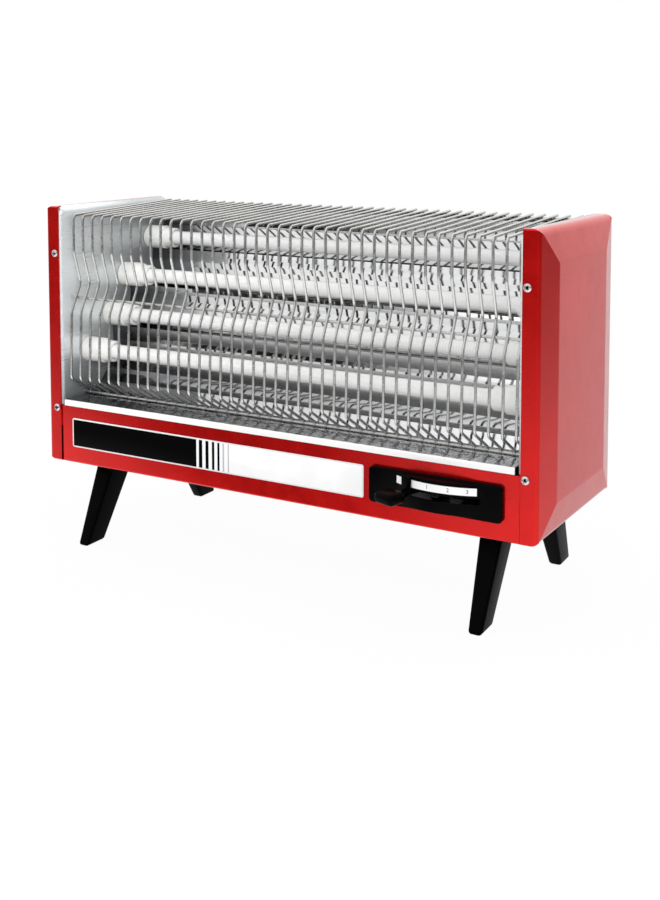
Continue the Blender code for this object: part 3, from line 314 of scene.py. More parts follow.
def dark_enamel():
    s = Surface("dark_enamel", "black_paint", 0.45)
    s.color(s.ramp(s.noise(20.0), (0.3, (0.012, 0.012, 0.012)), (0.7, (0.022, 0.022, 0.022))))
    s.bump(s.noise(650.0), 0.25, 0.0002)
    return s


def coil_alloy():
    s = Surface("coil_alloy", "resistance_wire", 0.5, 1.0)
    turns = s.turns(160.0)
    s.color(s.ramp(turns, (0.2, (0.10, 0.085, 0.07)), (0.8, (0.40, 0.35, 0.30))))
    s.bump(turns, 0.8, 0.0008)
    return s


def sleeve(name, slot, low, high):
    """A matt skin in one grey that varies a little: lead sleeves, scale film and ink."""
    s = Surface(name, slot, 0.5)
    s.color(s.ramp(s.noise(120.0), (0.3, (low,) * 3), (0.7, (high,) * 3)))
    s.bump(s.noise(900.0), 0.3, 0.0002)
    return s


# The plate's print: a black field at the left that fades out in bars, each with its middle,
# width and strength, then white, and a bright border round it all
INK_EDGE, BORDER = -0.0822, 0.0015
BARS = [
    (-0.0770, 0.0043, 1.0),
    (-0.0690, 0.0038, 1.0),
    (-0.0615, 0.0030, 1.0),
    (-0.0550, 0.0026, 1.0),
    (-0.0490, 0.0019, 0.45),
    (-0.0430, 0.0015, 0.45),
]


def printed_finish():
    s = Surface("printed_finish", "printed_plate", 0.35, Specular_IOR_Level=0.02)
    x, _, z = s.axes(s.where)
    ink = s.math("LESS_THAN", x, INK_EDGE)
    for middle, width, strength in BARS:
        bar = s.math("MULTIPLY", s.math("COMPARE", x, middle, width / 2), strength)
        ink = s.math("MAXIMUM", ink, bar)
    left, right, low, high = PLATE
    inside_x = s.math("COMPARE", x, (left + right) / 2, (right - left) / 2 - BORDER)
    inside_z = s.math("COMPARE", z, height((low + high) / 2), (high - low) / 2 - BORDER)
    white = s.ramp(s.noise(30.0), (0.3, (0.84, 0.84, 0.85)), (0.7, (0.90, 0.90, 0.90)))
    face = s.mix(ink, white, (0.0015, 0.0015, 0.0017))
    s.color(s.mix(s.math("MULTIPLY", inside_x, inside_z), (0.74, 0.74, 0.75), face))
    s.bump(s.noise(600.0), 0.05, 0.0001)
    return s


RED = red_enamel()
BLACK = black_moulding("black_moulding")
LEG_BLACK = black_moulding("leg_moulding", roughness=0.24, grain=0.04, sheen=0.02)
MIRROR = mirror_sheet()
FLOOR_SHEET = floor_sheet_finish()
BRUSHED = brushed_sheet()
WIRE = plated_wire()
QUARTZ = milky_quartz()
CERAMIC = fired_ceramic()
ZINC = zinc_plate()
SCREW_STEEL = zinc_plate("screw_steel", 0.55, 0.80, recess_shade=True)
# Steel darkened nearly to black as painted shade inside the body, for the base tray and the switch
# bracket.
SHADE_DARKENED_STEEL = zinc_plate("shade_darkened_steel", 0.020, 0.045)
DARK = dark_enamel()
COIL = coil_alloy()
WHITE_SLEEVE = sleeve("white_sleeve", "white_ceramic", 0.62, 0.74)
BLACK_SLEEVE = sleeve("black_sleeve", "black_plastic", 0.012, 0.025)
PRINT = printed_finish()
SCALE = sleeve("scale_film", "scale_white", 0.84, 0.90)
DIGITS = sleeve("scale_ink", "black_plastic", 0.05, 0.09)


# Pieces
def placed(name, data):
    obj = bpy.data.objects.new(name, data)
    bpy.context.scene.collection.objects.link(obj)
    return obj


def piece(name, mesh, surface, nodes=(), body="heater", sharp=30):
    obj = placed(name, mesh)
    mesh.materials.clear()
    mesh.materials.append(surface.mat)
    if sharp:
        mesh.shade_smooth()
        mesh.set_sharp_from_angle(angle=math.radians(sharp))
    if nodes:
        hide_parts(*nodes)
    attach(obj, body)
    return obj


def mesh_of(name, bm):
    mesh = bpy.data.meshes.new(name)
    bmesh.ops.recalc_face_normals(bm, faces=bm.faces)
    bm.to_mesh(mesh)
    bm.free()
    return mesh


def result(obj, *tools):
    """The object's evaluated mesh; the object and its tools are taken out of the scene."""
    final = obj.evaluated_get(bpy.context.evaluated_depsgraph_get())
    mesh = bpy.data.meshes.new_from_object(final)
    for used in (obj, *tools):
        bpy.data.objects.remove(used)
    return mesh


def finished(mesh, name, *modifiers):
    """The mesh with modifiers run on it, each given as a kind and its settings."""
    obj = placed(name, mesh)
    for kind, settings in modifiers:
        mod = obj.modifiers.new(kind.lower(), kind)
        for key, value in settings.items():
            setattr(mod, key, value)
    done = result(obj)
    done.name = name
    return done


def carved(name, mesh, others=(), cutters=()):
    """The mesh with the others joined to it and then the cutters taken out."""
    obj = placed(name, mesh)
    tools = []
    for operation, meshes in (("UNION", others), ("DIFFERENCE", cutters)):
        for shape in meshes:
            tools.append(placed(name + "_tool", shape))
            mod = obj.modifiers.new("carve", "BOOLEAN")
            mod.operation = operation
            mod.object = tools[-1]
    return result(obj, *tools)


def merged(name, *meshes):
    bm = bmesh.new()
    for mesh in meshes:
        bm.from_mesh(mesh)
    made = bpy.data.meshes.new(name)
    bm.to_mesh(made)
    bm.free()
    return made


def rounded(width, segments=4, angle=30):
    limit = dict(limit_method="ANGLE", angle_limit=math.radians(angle))
    return "BEVEL", dict(width=width, segments=segments, **limit)


def skin(offset=0):
    return "SOLIDIFY", dict(thickness=SHEET, offset=offset, use_even_offset=True)


def box_mesh(name, low, high):
    bm = bmesh.new()
    low, high = Vector(low), Vector(high)
    middle = Matrix.Translation((low + high) / 2)
    bmesh.ops.create_cube(bm, size=1, matrix=middle @ Matrix.Diagonal((*(high - low), 1)))
    return mesh_of(name, bm)


def net(bm, rows):
    """Faces between neighbouring rows of points."""
    for a, b in zip(rows, rows[1:]):
        for i in range(len(a) - 1):
            bm.faces.new((a[i], a[i + 1], b[i + 1], b[i]))


def swept_sheet(name, points, start, end, steps=1, offset=0):
    """Sheet bent to a line of depths and heights, from one X to another."""
    bm = bmesh.new()
    rows = []
    for k in range(steps + 1):
        x = start + (end - start) * k / steps
        rows.append([bm.verts.new(spot(x, *point)) for point in points])
    net(bm, rows)
    return finished(mesh_of(name, bm), name, skin(offset))


def drawn_out(name, points, run):
    """A flat outline drawn out along a run."""
    bm = bmesh.new()
    face = bm.faces.new([bm.verts.new(point) for point in points])
    drawn = bmesh.ops.extrude_face_region(bm, geom=[face])["geom"]
    moved = [v for v in drawn if isinstance(v, bmesh.types.BMVert)]
    bmesh.ops.translate(bm, verts=moved, vec=run)
    return mesh_of(name, bm)


def prism(name, outline, front, back):
    """An outline in X and Z, drawn out from one depth to another."""
    return drawn_out(name, [spot(x, back, z) for x, z in outline], (0, front - back, 0))


def upright(name, outline, low, high):
    """An outline in X and depth, drawn up between two heights."""
    return drawn_out(name, [spot(x, y, low) for x, y in outline], (0, 0, high - low))


def lathe(name, profile, place, sides=48, axis="X", flip=1, closed=True):
    """A ring, or an open line, of radius and length turned round an axis through place."""
    bm = bmesh.new()
    rings = []
    for i in range(sides):
        angle = 2 * math.pi * i / sides
        ring = []
        for radius, along in profile:
            across, beside = radius * math.cos(angle), radius * math.sin(angle)
            along *= flip
            ways = {"X": (along, across, beside), "Y": (across, along, beside)}
            point = ways.get(axis, (across, beside, along))
            ring.append(bm.verts.new(Vector(place) + Vector(point)))
        rings.append(ring)
    count = len(profile)
    for a, b in zip(rings, rings[1:] + rings[:1]):
        for i in range(count if closed else count - 1):
            j = (i + 1) % count
            bm.faces.new((a[i], a[j], b[j], b[i]))
    bmesh.ops.remove_doubles(bm, verts=bm.verts, dist=1e-6)
    bmesh.ops.dissolve_degenerate(bm, edges=bm.edges, dist=1e-6)
    return mesh_of(name, bm)


def ring_profile(inner, outer, start, end):
    return [(inner, start), (outer, start), (outer, end), (inner, end)]


def soften(profile, radius, steps=3):
    """Each corner of a closed outline rounded, by at most the given radius."""
    points = [Vector(p) for p in profile]
    out = []
    for i, corner in enumerate(points):
        before, after = points[i - 1], points[(i + 1) % len(points)]
        into, away = before - corner, after - corner
        run = min(radius, into.length * 0.4, away.length * 0.4)
        a, b = corner + into.normalized() * run, corner + away.normalized() * run
        for k in range(steps + 1):
            t = k / steps
            out.append(tuple(a * (1 - t) ** 2 + corner * 2 * t * (1 - t) + b * t**2))
    return out


def fillet(points, radii, steps=8):
    """A bent wire's or sheet's points, with each inner corner rounded by its own radius."""
    points = [Vector(point) for point in points]
    out = [points[0]]
    if isinstance(radii, float):
        radii = [radii] * len(points)
    for before, corner, after, radius in zip(points, points[1:], points[2:], radii):
        into, away = (before - corner).normalized(), (after - corner).normalized()
        half = into.angle(away) / 2
        longest = 0.45 * min((before - corner).length, (after - corner).length)
        run = min(radius / math.tan(half), longest)
        bow = run * math.tan(half)
        centre = corner + (into + away).normalized() * (bow / math.sin(half))
        start, end = corner + into * run - centre, corner + away * run - centre
        out += [centre + start.slerp(end, i / (steps - 1)) * bow for i in range(steps)]
    return out + [points[-1]]


def rounded_rectangle(left, right, low, high, radius, steps=6):
    """Corner points, in X and Z, of a rectangle with round corners."""
    points = []
    centres = [(right - radius, high - radius, 0), (left + radius, high - radius, 90)]
    centres += [(left + radius, low + radius, 180), (right - radius, low + radius, 270)]
    for x, z, start in centres:
        for i in range(steps + 1):
            angle = math.radians(start + 90 * i / steps)
            points.append((x + radius * math.cos(angle), z + radius * math.sin(angle)))
    return points


def inset(rectangle, by):
    left, right, low, high = rectangle
    return left + by, right - by, low + by, high - by


# Side panels: a pan with a raised field, whose rear wall reaches in behind the back panel.
# Each bend has a share of the widest: round the field, up its slopes, at the uprights of the
# outer edge, along its top and bottom, and at the corners of the lip
PANEL_BEND = 0.0068
FIELD_BEND, SLOPE_BEND, UPRIGHT_BEND, LONG_BEND, LIP_BEND = 0.17, 0.07, 0.42, 1.0, 0.27


def bend_share(line, field, rim):
    inside = sum(v in field for v in line.verts)
    outside = sum(v in rim for v in line.verts)
    run = line.verts[0].co - line.verts[1].co
    if inside:
        return FIELD_BEND if inside == 2 else SLOPE_BEND
    if outside < 2 and not (outside and abs(run.x) > 0.01):
        return 0.0
    if abs(run.z) > BODY_HEIGHT / 2:
        return UPRIGHT_BEND
    return LONG_BEND if abs(run.y) > abs(run.x) else LIP_BEND


def side_panel(name, node, side):
    half, top = BODY_WIDTH / 2, BODY_HEIGHT
    inner, rear_inner = half - SIDE_LIP, half + SIDE_FLARE - SIDE_LIP_REAR
    wall, notch, slant = inner - 0.0005, 0.011, 0.002
    bm = bmesh.new()

    def corners(*places):
        return [bm.verts.new(spot(side * x, y, z)) for x, y, z in places]

    def face_x(y):
        return half + SIDE_FLARE * y / BODY_DEPTH

    near, far = SIDE_FIELD_INSET, BODY_DEPTH - SIDE_FIELD_INSET
    low, high = SIDE_FIELD_INSET, top - SIDE_FIELD_INSET
    raised = ((near, low), (far, low), (far, high), (near, high))
    field = corners(*((face_x(y) + SIDE_FIELD_RISE, y, z) for y, z in raised))
    outer = ((0, 0), (BODY_DEPTH, 0), (BODY_DEPTH, top), (0, top))
    rim = corners(*((face_x(y), y, z) for y, z in outer))
    shelf = inner + 0.0065
    back_top = (shelf, BODY_DEPTH, top)
    edge = corners((inner, 0, 0), (wall, BODY_DEPTH, 0), back_top, (inner, 0, top))
    step_in = [(wall, notch), (rear_inner, notch + slant)]
    step_in += [(rear_inner, top - notch - slant), (wall, top - notch)]
    flap = corners(*((x, BODY_DEPTH, z) for x, z in step_in))
    ledge = corners((shelf, 0.0070, top), (inner, 0.0056, top))
    bm.faces.new(field)
    for i in range(4):
        j = (i + 1) % 4
        bm.faces.new((rim[i], rim[j], field[j], field[i]))
        bm.faces.new((edge[i], *{1: flap, 2: ledge}.get(i, []), edge[j], rim[j], rim[i]))
    weights = bm.edges.layers.float.new("bevel_weight_edge")
    for line in bm.edges:
        line[weights] = bend_share(line, field, rim)
    folds = "BEVEL", dict(width=PANEL_BEND, segments=6, limit_method="WEIGHT")
    flat = "WEIGHTED_NORMAL", dict(keep_sharp=True, weight=80)
    mesh = mesh_of(name, bm)
    if sum(p.normal.x * p.area for p in mesh.polygons if abs(p.normal.x) > 0.9) * side < 0:
        mesh.flip_normals()
    mesh = finished(mesh, name, folds, skin(-1))
    mesh.shade_smooth()
    mesh.set_sharp_from_angle(angle=math.radians(55))
    return piece(name, finished(mesh, name, flat), RED, [node], sharp=0)


side_panel("left_panel", "left_side_panel", -1)
side_panel("right_panel", "right_side_panel", 1)

# Front panel: the sheet with its lower fold, tabs behind the side panels' lips, and the window
TAB_END, TAB_LAP, TAB_HEIGHT = 0.2753, 0.0012, 0.0228
TAB_FRONT, TAB_SHEET = 0.0015, 0.0009
panel_left = -(BODY_WIDTH / 2 - SIDE_LIP) + 0.0028
panel_right = BODY_WIDTH / 2 - SIDE_LIP - GAP
panel_bend = fillet([(0.012, 0.0006), (0.0006, 0.0006), (0.0006, PANEL_HEIGHT - 0.0001)], 0.0016, 6)
face_sheet = swept_sheet("face_sheet", panel_bend, panel_left, panel_right)
window = prism("window", rounded_rectangle(*inset(BEZEL, 0.0046), 0.003), -0.01, 0.01)
tabs = []
for x0, x1 in ((-TAB_END, panel_left + TAB_LAP), (panel_right - TAB_LAP, TAB_END)):
    tab_low = spot(x0, TAB_FRONT, PANEL_HEIGHT - TAB_HEIGHT)
    tab_high = spot(x1, TAB_FRONT + TAB_SHEET, PANEL_HEIGHT)
    tabs.append(finished(box_mesh("tab", tab_low, tab_high), "tab", rounded(0.0006, 3)))
panel_mesh = carved("panel_face", face_sheet, cutters=[window])
piece("panel", merged("panel", panel_mesh, *tabs), RED, ["front_panel"])

plate_mesh = prism("plate", rounded_rectangle(*PLATE, 0.0022), -0.0011, -0.0003)
plate_mesh = finished(plate_mesh, "plate", rounded(0.00025, 2, 50))
piece("label_plate", plate_mesh, PRINT, ["printed_plate"])

# Chamber floor: the bright strip over the panel and the sheet behind it
floor_end = END_PLATE_X - 0.0025
floor_path = [
    (0.0006, PANEL_HEIGHT + GAP),
    (0.0006, FLOOR_HEIGHT - SHEET / 2),
    (0.052, FLOOR_HEIGHT - SHEET / 2),
]
floor_mesh = swept_sheet("floor", fillet(floor_path, 0.0014, 6), -floor_end, floor_end)
piece("floor_sheet", floor_mesh, FLOOR_SHEET, ["chamber_floor"])

# End plates: their front and top edges roll outward, with a wider roll and a narrower flange
# at the top than in front
FRONT_ROLL, TOP_ROLL, TOP_FLANGE = 0.0024, 0.0080, 0.0088
PLATE_CORNER, PLATE_FOOT = 0.009, 0.003


def end_plate(name, node, side):
    bm = bmesh.new()
    front, top = 0.0021, BODY_HEIGHT - SHEET / 2 - 0.0001
    rear = BODY_DEPTH - 2 * SHEET - 2 * GAP
    seat = PANEL_HEIGHT + 2 * GAP
    edge = fillet([(front, seat), (front, top), (rear, top)], PLATE_CORNER, 10)
    middle = Vector((0.09, 0.17))
    bow = [math.radians(angle) for angle in range(0, 91, 15)]
    rings = []
    for i, point in enumerate(edge):
        before, after = edge[max(i - 1, 0)], edge[min(i + 1, len(edge) - 1)]
        along = (after - before).normalized()
        inward = Vector((along.y, -along.x))
        if inward.dot(middle - point) < 0:
            inward = -inward
        upward = max(0.0, -inward.y)
        roll = FRONT_ROLL + (TOP_ROLL - FRONT_ROLL) * upward
        section = [(END_FLANGE + (TOP_FLANGE - END_FLANGE) * upward, 0.0)]
        section += [(0.0006 + roll * (1 - math.sin(t)), roll * (1 - math.cos(t))) for t in bow]
        ring = []
        for out, down in section:
            ring.append(bm.verts.new(spot(side * (END_PLATE_X + out), *(point + inward * down))))
        rings.append(ring)
    net(bm, rings)
    x = side * (END_PLATE_X + 0.0006)
    foot = ((rear, PLATE_FOOT), (0.0051, PLATE_FOOT), (0.0051, seat))
    bm.faces.new([ring[-1] for ring in rings] + [bm.verts.new(spot(x, y, z)) for y, z in foot])
    return piece(name, finished(mesh_of(name, bm), name, skin()), BRUSHED, [node])


end_plate("left_inner_plate", "left_end_plate", -1)
end_plate("right_inner_plate", "right_end_plate", 1)

# Reflector: ridges close under the tubes, and between them flutes in flat steps. For each
# flute its rise, its steps and how far every second corner stands in as a fine rib
RIDGE_OFFSETS = ((0.005, -0.0145), (0.00916, -0.013524), (0.00354, -0.014532))
FLUTES = ((0.0125, 10, 0.0006), (0.0135, 10, 0.0003), (0.0125, 8, 0.0), (0.013, 10, 0.0006))


def arc(start, end, rise, steps, rib):
    """A shallow arc in flat steps; every second corner stands in by the rib."""
    chord = end - start
    outward = Vector((-chord.y, chord.x)).normalized()
    if outward.x < 0:
        outward = -outward
    radius = (chord.length**2 / 4 + rise**2) / (2 * rise)
    centre = (start + end) / 2 + outward * (rise - radius)
    first, last = start - centre, end - centre
    reach = [radius - (rib if i % 2 else 0.0) for i in range(steps + 1)]
    return [centre + first.slerp(last, i / steps) * reach[i] for i in range(steps + 1)]


ridges = [Vector((BODY_DEPTH - 0.015, BODY_HEIGHT - 0.010))]
ridges += [Vector(tube) + Vector(offset) for tube, offset in zip(TUBES, RIDGE_OFFSETS)]
ridges.append(Vector((0.052 - SHEET - GAP, FLOOR_HEIGHT + GAP)))
flutes = [ridges[0]]
for start, end, flute in zip(ridges, ridges[1:], FLUTES):
    flutes += arc(start, end, *flute)[1:]
half = END_PLATE_X - GAP
flutes_mesh = swept_sheet("fluted_reflector", flutes, -half, half, 4, 1)
piece("fluted_reflector", flutes_mesh, MIRROR, ["reflector"], sharp=2)

# Tubes, and on their ends caps with a neck, a body and a spigot through the end plate
TUBE_RADIUS, TUBE_WALL = 0.008, 0.0016
NECK_RADIUS, CAP_RADIUS, SPIGOT_RADIUS = 0.0115, 0.0135, 0.006
NECK_LENGTH, CAP_LENGTH, SPIGOT_LENGTH = 0.013, 0.025, 0.0022
CAP_BACK = END_PLATE_X - GAP
CAP_INNER = CAP_BACK - CAP_LENGTH - NECK_LENGTH
TUBE_HALF = CAP_INNER + 0.026
seat, hole = TUBE_RADIUS + GAP, 0.002 + GAP
tube_profile = ring_profile(TUBE_RADIUS - TUBE_WALL, TUBE_RADIUS, -TUBE_HALF, TUBE_HALF)
cap_profile = [
    (seat, CAP_INNER),
    (seat, TUBE_HALF + GAP),
    (hole, TUBE_HALF + GAP),
    (hole, CAP_BACK + SHEET + SPIGOT_LENGTH),
    (SPIGOT_RADIUS, CAP_BACK + SHEET + SPIGOT_LENGTH),
    (SPIGOT_RADIUS, CAP_BACK),
    (CAP_RADIUS, CAP_BACK),
    (CAP_RADIUS, CAP_INNER + NECK_LENGTH),
    (NECK_RADIUS, CAP_INNER + NECK_LENGTH),
    (NECK_RADIUS, CAP_INNER),
]
for number, tube in enumerate(TUBES, 1):
    name, place = f"tube_{number}", spot(0, *tube)
    tube_mesh = lathe(name, soften(tube_profile, 0.0004), place)
    piece(name, tube_mesh, QUARTZ, [f"quartz_tube_{number}"])
    for side, side_name in ((-1, "left"), (1, "right")):
        name = f"{side_name}_ceramic_{number}"
        cap_mesh = lathe(name, soften(cap_profile, 0.0009), place, flip=side)
        piece(name, cap_mesh, CERAMIC, [f"{side_name}_cap_{number}"])

# Wire guard, by node trees: one bent wire on each point of a line, three rods, and a bead of
# weld at each crossing with the two lower rods
WIRE_RADIUS, ROD_RADIUS, PITCH, WIRES = 0.0014, 0.0015, 0.0131, 40
BEND_RADII = (0.0055, 0.014, 0.012, 0.014, 0.006)
WELD, BEAD_RADIUS, BEAD_STRETCH = 0.0007, 0.0014, (1.25, 1.0, 1.0)
LAST_WIRE = END_PLATE_X - 0.0027
FIRST_WIRE = LAST_WIRE - (WIRES - 1) * PITCH
ROD_HALF = END_PLATE_X + 0.004
REAR_ROD_INSET = 0.011


def guard_profile():
    ceiling = BODY_HEIGHT - SHEET - GAP - WIRE_RADIUS
    points = [
        (BODY_DEPTH - 0.006, ceiling),
        (0.0115, BODY_HEIGHT - 0.0100),
        (0.0115, BODY_HEIGHT - 0.050),
        (0.0215, BODY_HEIGHT - 0.084),
        (0.0068, BODY_HEIGHT - 0.114),
        (0.0042, FLOOR_HEIGHT + 0.0235),
        (0.038, FLOOR_HEIGHT + 0.0030),
    ]
    return [Vector(point) for point in points]


def guard_rods():
    """Depth and height of the rear rod, the one at the waist and the one at the toe."""
    rear, shoulder, _, waist, lower, skirt, toe = guard_profile()
    touch = WIRE_RADIUS + ROD_RADIUS - WELD
    slope = (rear.y - shoulder.y) / (rear.x - shoulder.x)
    rear_rod = Vector((rear.x - REAR_ROD_INSET, rear.y - slope * REAR_ROD_INSET - touch))
    down = (lower - waist).normalized()
    waist_rod = waist.lerp(lower, 0.5) + Vector((-down.y, down.x)) * touch
    back = (toe - skirt).normalized()
    toe_rod = toe - back * ROD_RADIUS + Vector((back.y, -back.x)) * touch
    return [rear_rod, waist_rod, toe_rod]


class Nodes:
    """A geometry node tree with named number inputs."""

    def __init__(self, name, **sizes):
        self.tree = bpy.data.node_groups.new(name, "GeometryNodeTree")
        sockets = self.tree.interface
        for way in ("INPUT", "OUTPUT"):
            sockets.new_socket("Geometry", in_out=way, socket_type="NodeSocketGeometry")
        self.values = {}
        for key, value in sizes.items():
            kind = "NodeSocketInt" if isinstance(value, int) else "NodeSocketFloat"
            socket = sockets.new_socket(key, in_out="INPUT", socket_type=kind)
            self.values[socket.identifier] = value
        self.given = self.tree.nodes.new("NodeGroupInput").outputs
        self.end = self.tree.nodes.new("NodeGroupOutput")

    def add(self, kind, **inputs):
        """What a new node gives first, its inputs named with _ for a space."""
        made = self.tree.nodes.new("GeometryNode" + kind)
        for key, value in inputs.items():
            socket = made.inputs[key.replace("_", " ")]
            if isinstance(value, bpy.types.NodeSocket):
                self.tree.links.new(value, socket)
            else:
                socket.default_value = value
        return made.outputs[0]

    def along_x(self, length):
        made = self.tree.nodes.new("ShaderNodeCombineXYZ")
        self.tree.links.new(length, made.inputs["X"])
        return made.outputs[0]

    def swept(self, sides):
        """A round wire of the tree's own radius along the given lines."""
        path = self.add("MeshToCurve", Mesh=self.given["Geometry"])
        ring = self.add("CurvePrimitiveCircle", Resolution=sides, Radius=self.given["Radius"])
        return self.add("CurveToMesh", Curve=path, Profile_Curve=ring, Fill_Caps=True)

    def run(self, geometry, surface, mesh):
        """The tree closed after this geometry and run on a mesh, inputs set by identifier."""
        real = self.add("RealizeInstances", Geometry=geometry)
        coat = self.add("SetMaterial", Geometry=real, Material=surface.mat)
        self.tree.links.new(coat, self.end.inputs[0])
        obj = placed(self.tree.name, mesh)
        mod = obj.modifiers.new(self.tree.name, "NODES")
        mod.node_group = self.tree
        for identifier, value in self.values.items():
            mod[identifier] = value
        return result(obj)


def loose_mesh(name, *paths):
    """The points of the given paths, each path joined by edges."""
    verts, edges = [], []
    for path in paths:
        first = len(verts)
        verts += [tuple(p) for p in path]
        edges += [(first + i, first + i + 1) for i in range(len(path) - 1)]
    mesh = bpy.data.meshes.new(name)
    mesh.from_pydata(verts, edges, [])
    return mesh


def bent_wires():
    n = Nodes("guard_wires", Count=WIRES, Pitch=PITCH, First=FIRST_WIRE, Radius=WIRE_RADIUS)
    wire = n.swept(12)
    start, pitch = n.along_x(n.given["First"]), n.along_x(n.given["Pitch"])
    line = n.add("MeshLine", Count=n.given["Count"], Start_Location=start, Offset=pitch)
    many = n.add("InstanceOnPoints", Points=line, Instance=wire)
    bend = fillet(guard_profile(), BEND_RADII, 8)
    return n.run(many, WIRE, loose_mesh("wire_path", [spot(0, *point) for point in bend]))


def cross_rods():
    n = Nodes("guard_rods", Radius=ROD_RADIUS)
    lines = [[spot(x, *rod) for x in (-ROD_HALF, ROD_HALF)] for rod in guard_rods()]
    return n.run(n.swept(16), WIRE, loose_mesh("rod_path", *lines))


def weld_beads():
    n = Nodes("guard_welds", Radius=BEAD_RADIUS)
    bead = n.add("MeshIcoSphere", Radius=n.given["Radius"], Subdivisions=2)
    points = n.given["Geometry"]
    many = n.add("InstanceOnPoints", Points=points, Instance=bead, Scale=BEAD_STRETCH)
    beads = []
    for rod in guard_rods()[1:]:
        for i in range(WIRES):
            beads.append([spot(LAST_WIRE - i * PITCH, rod.x - 0.0009, rod.y + 0.0004)])
    return n.run(many, WIRE, loose_mesh("bead_points", *beads))


guard_mesh = merged("guard", bent_wires(), cross_rods(), weld_beads())
piece("guard", guard_mesh, WIRE, ["wire_guard"], sharp=60)

# Control: bezel with its convex front and slot, scale, digits and lever
DIAL_REACH = math.radians(29)
HOLLOW_RADIUS, STEM_HALF = 0.093, 0.004
SCALE_START, SCALE_END = -math.radians(25.4), math.radians(23.6)
DIGIT_SIZE, DIGIT_RELIEF, DIGIT_LEVEL = 0.0052, 0.00003, 0.0430
DIGIT_ANGLES = {"0": -17, "1": -4, "2": 8, "3": 18.5}


def on_dial(radius, angle):
    """X and depth of a point about the lever's pivot."""
    return PIVOT[0] + radius * math.sin(angle), PIVOT[1] - radius * math.cos(angle)


def drum_outline(radius, front, reach, steps=28):
    """A convex front about the pivot, closed by a straight line at the given depth."""
    points = [on_dial(radius, (2 * i / steps - 1) * reach) for i in range(steps + 1)]
    return points + [(points[-1][0], front), (points[0][0], front)]


def band(name, inner, outer, start, end, low, high, steps=28):
    """A curved wall about the pivot, between two radii, two angles and two heights."""
    angles = [start + (end - start) * i / steps for i in range(steps + 1)]
    outline = [on_dial(outer, angle) for angle in angles]
    outline += [on_dial(inner, angle) for angle in reversed(angles)]
    return upright(name, outline, low, high)


rim_mesh = prism("rim", rounded_rectangle(*BEZEL, 0.0042), -0.005, -0.0003)
rim_mesh = finished(rim_mesh, "rim", rounded(0.0016, 4, 40))
drum_mesh = upright("drum", drum_outline(DIAL_RADIUS, -0.0004, DIAL_REACH), 0.0200, 0.0495)
drum_mesh = finished(drum_mesh, "drum", rounded(0.0012, 4, 40))
collar_outline = rounded_rectangle(*inset(BEZEL, 0.0048), 0.0028)
collar_mesh = prism("collar", collar_outline, -0.0026, 0.007)
half_slot = math.asin(STEM_HALF / HOLLOW_RADIUS) + math.radians(0.8)
slot_ends = LEVER_ANGLE - half_slot, LEVER_ANGLE + LEVER_TRAVEL + half_slot
slot_mesh = band("slot", 0.091, 0.097, *slot_ends, 0.0310, 0.0370)
hollow_outline = drum_outline(HOLLOW_RADIUS, 0.0082, DIAL_REACH)
hollow_mesh = upright("hollow", hollow_outline, 0.02425, 0.04525)
bezel_mesh = carved("bezel", rim_mesh, [collar_mesh, drum_mesh], [hollow_mesh, slot_mesh])
piece("bezel", bezel_mesh, BLACK, ["control_bezel"])

scale_radii = DIAL_RADIUS + GAP, DIAL_RADIUS + 3 * GAP
scale_mesh = band("scale", *scale_radii, SCALE_START, SCALE_END, 0.0396, 0.0464)
piece("scale", scale_mesh, SCALE, ["scale_strip"])


def digit(text, angle):
    """A small plain number on the scale."""
    curve = bpy.data.curves.new("digit", "FONT")
    curve.body = text
    curve.size, curve.extrude = DIGIT_SIZE, DIGIT_RELIEF
    curve.align_x, curve.align_y = "CENTER", "CENTER"
    done = result(placed("digit", curve))
    radius = scale_radii[1] + 0.00006
    turn = Matrix.Rotation(angle, 4, "Z") @ Matrix.Rotation(math.radians(90), 4, "X")
    done.transform(Matrix.Translation(spot(*on_dial(radius, angle), DIGIT_LEVEL)) @ turn)
    return done


digits = [digit(text, math.radians(angle)) for text, angle in DIGIT_ANGLES.items()]
piece("scale_digits", merged("scale_digits", *digits), DIGITS, sharp=0)


def lever_part(half_width, near, far, low, high, radius, segments=4):
    """A rounded block that points forward from the pivot."""
    made = box_mesh("part", (-half_width, -far, low), (half_width, -near, high))
    return finished(made, "part", rounded(radius, segments))


clear = DIAL_RADIUS + 4 * GAP
hub_profile = soften(ring_profile(0.0031, 0.009, 0.0277, 0.0369), 0.0006)
lever_parts = {
    "arm": lever_part(STEM_HALF, 0, 0.118, 0.0323, 0.0357, 0.0005),
    "pointer": lever_part(0.0056, clear, clear + 0.0018, 0.0323, 0.0492, 0.0006),
    "stem": lever_part(STEM_HALF, clear + 0.0009, 0.118, 0.0311, 0.0369, 0.0016),
    "grip": lever_part(0.0115, 0.109, 0.129, 0.0290, 0.0400, 0.0045, 6),
    "hub": lathe("hub", hub_profile, (0, 0, 0), 40, "Z"),
    "shaft": lathe("shaft", ring_profile(0.0002, 0.003, 0.0157, 0.0357), (0, 0, 0), 32, "Z"),
}
lever_mesh = merged("lever", *lever_parts.values())
lever_mesh.transform(Matrix.Translation(spot(*PIVOT, 0)) @ Matrix.Rotation(LEVER_ANGLE, 4, "Z"))
piece("lever_arm", lever_mesh, BLACK, ["selector_lever"], body="lever")

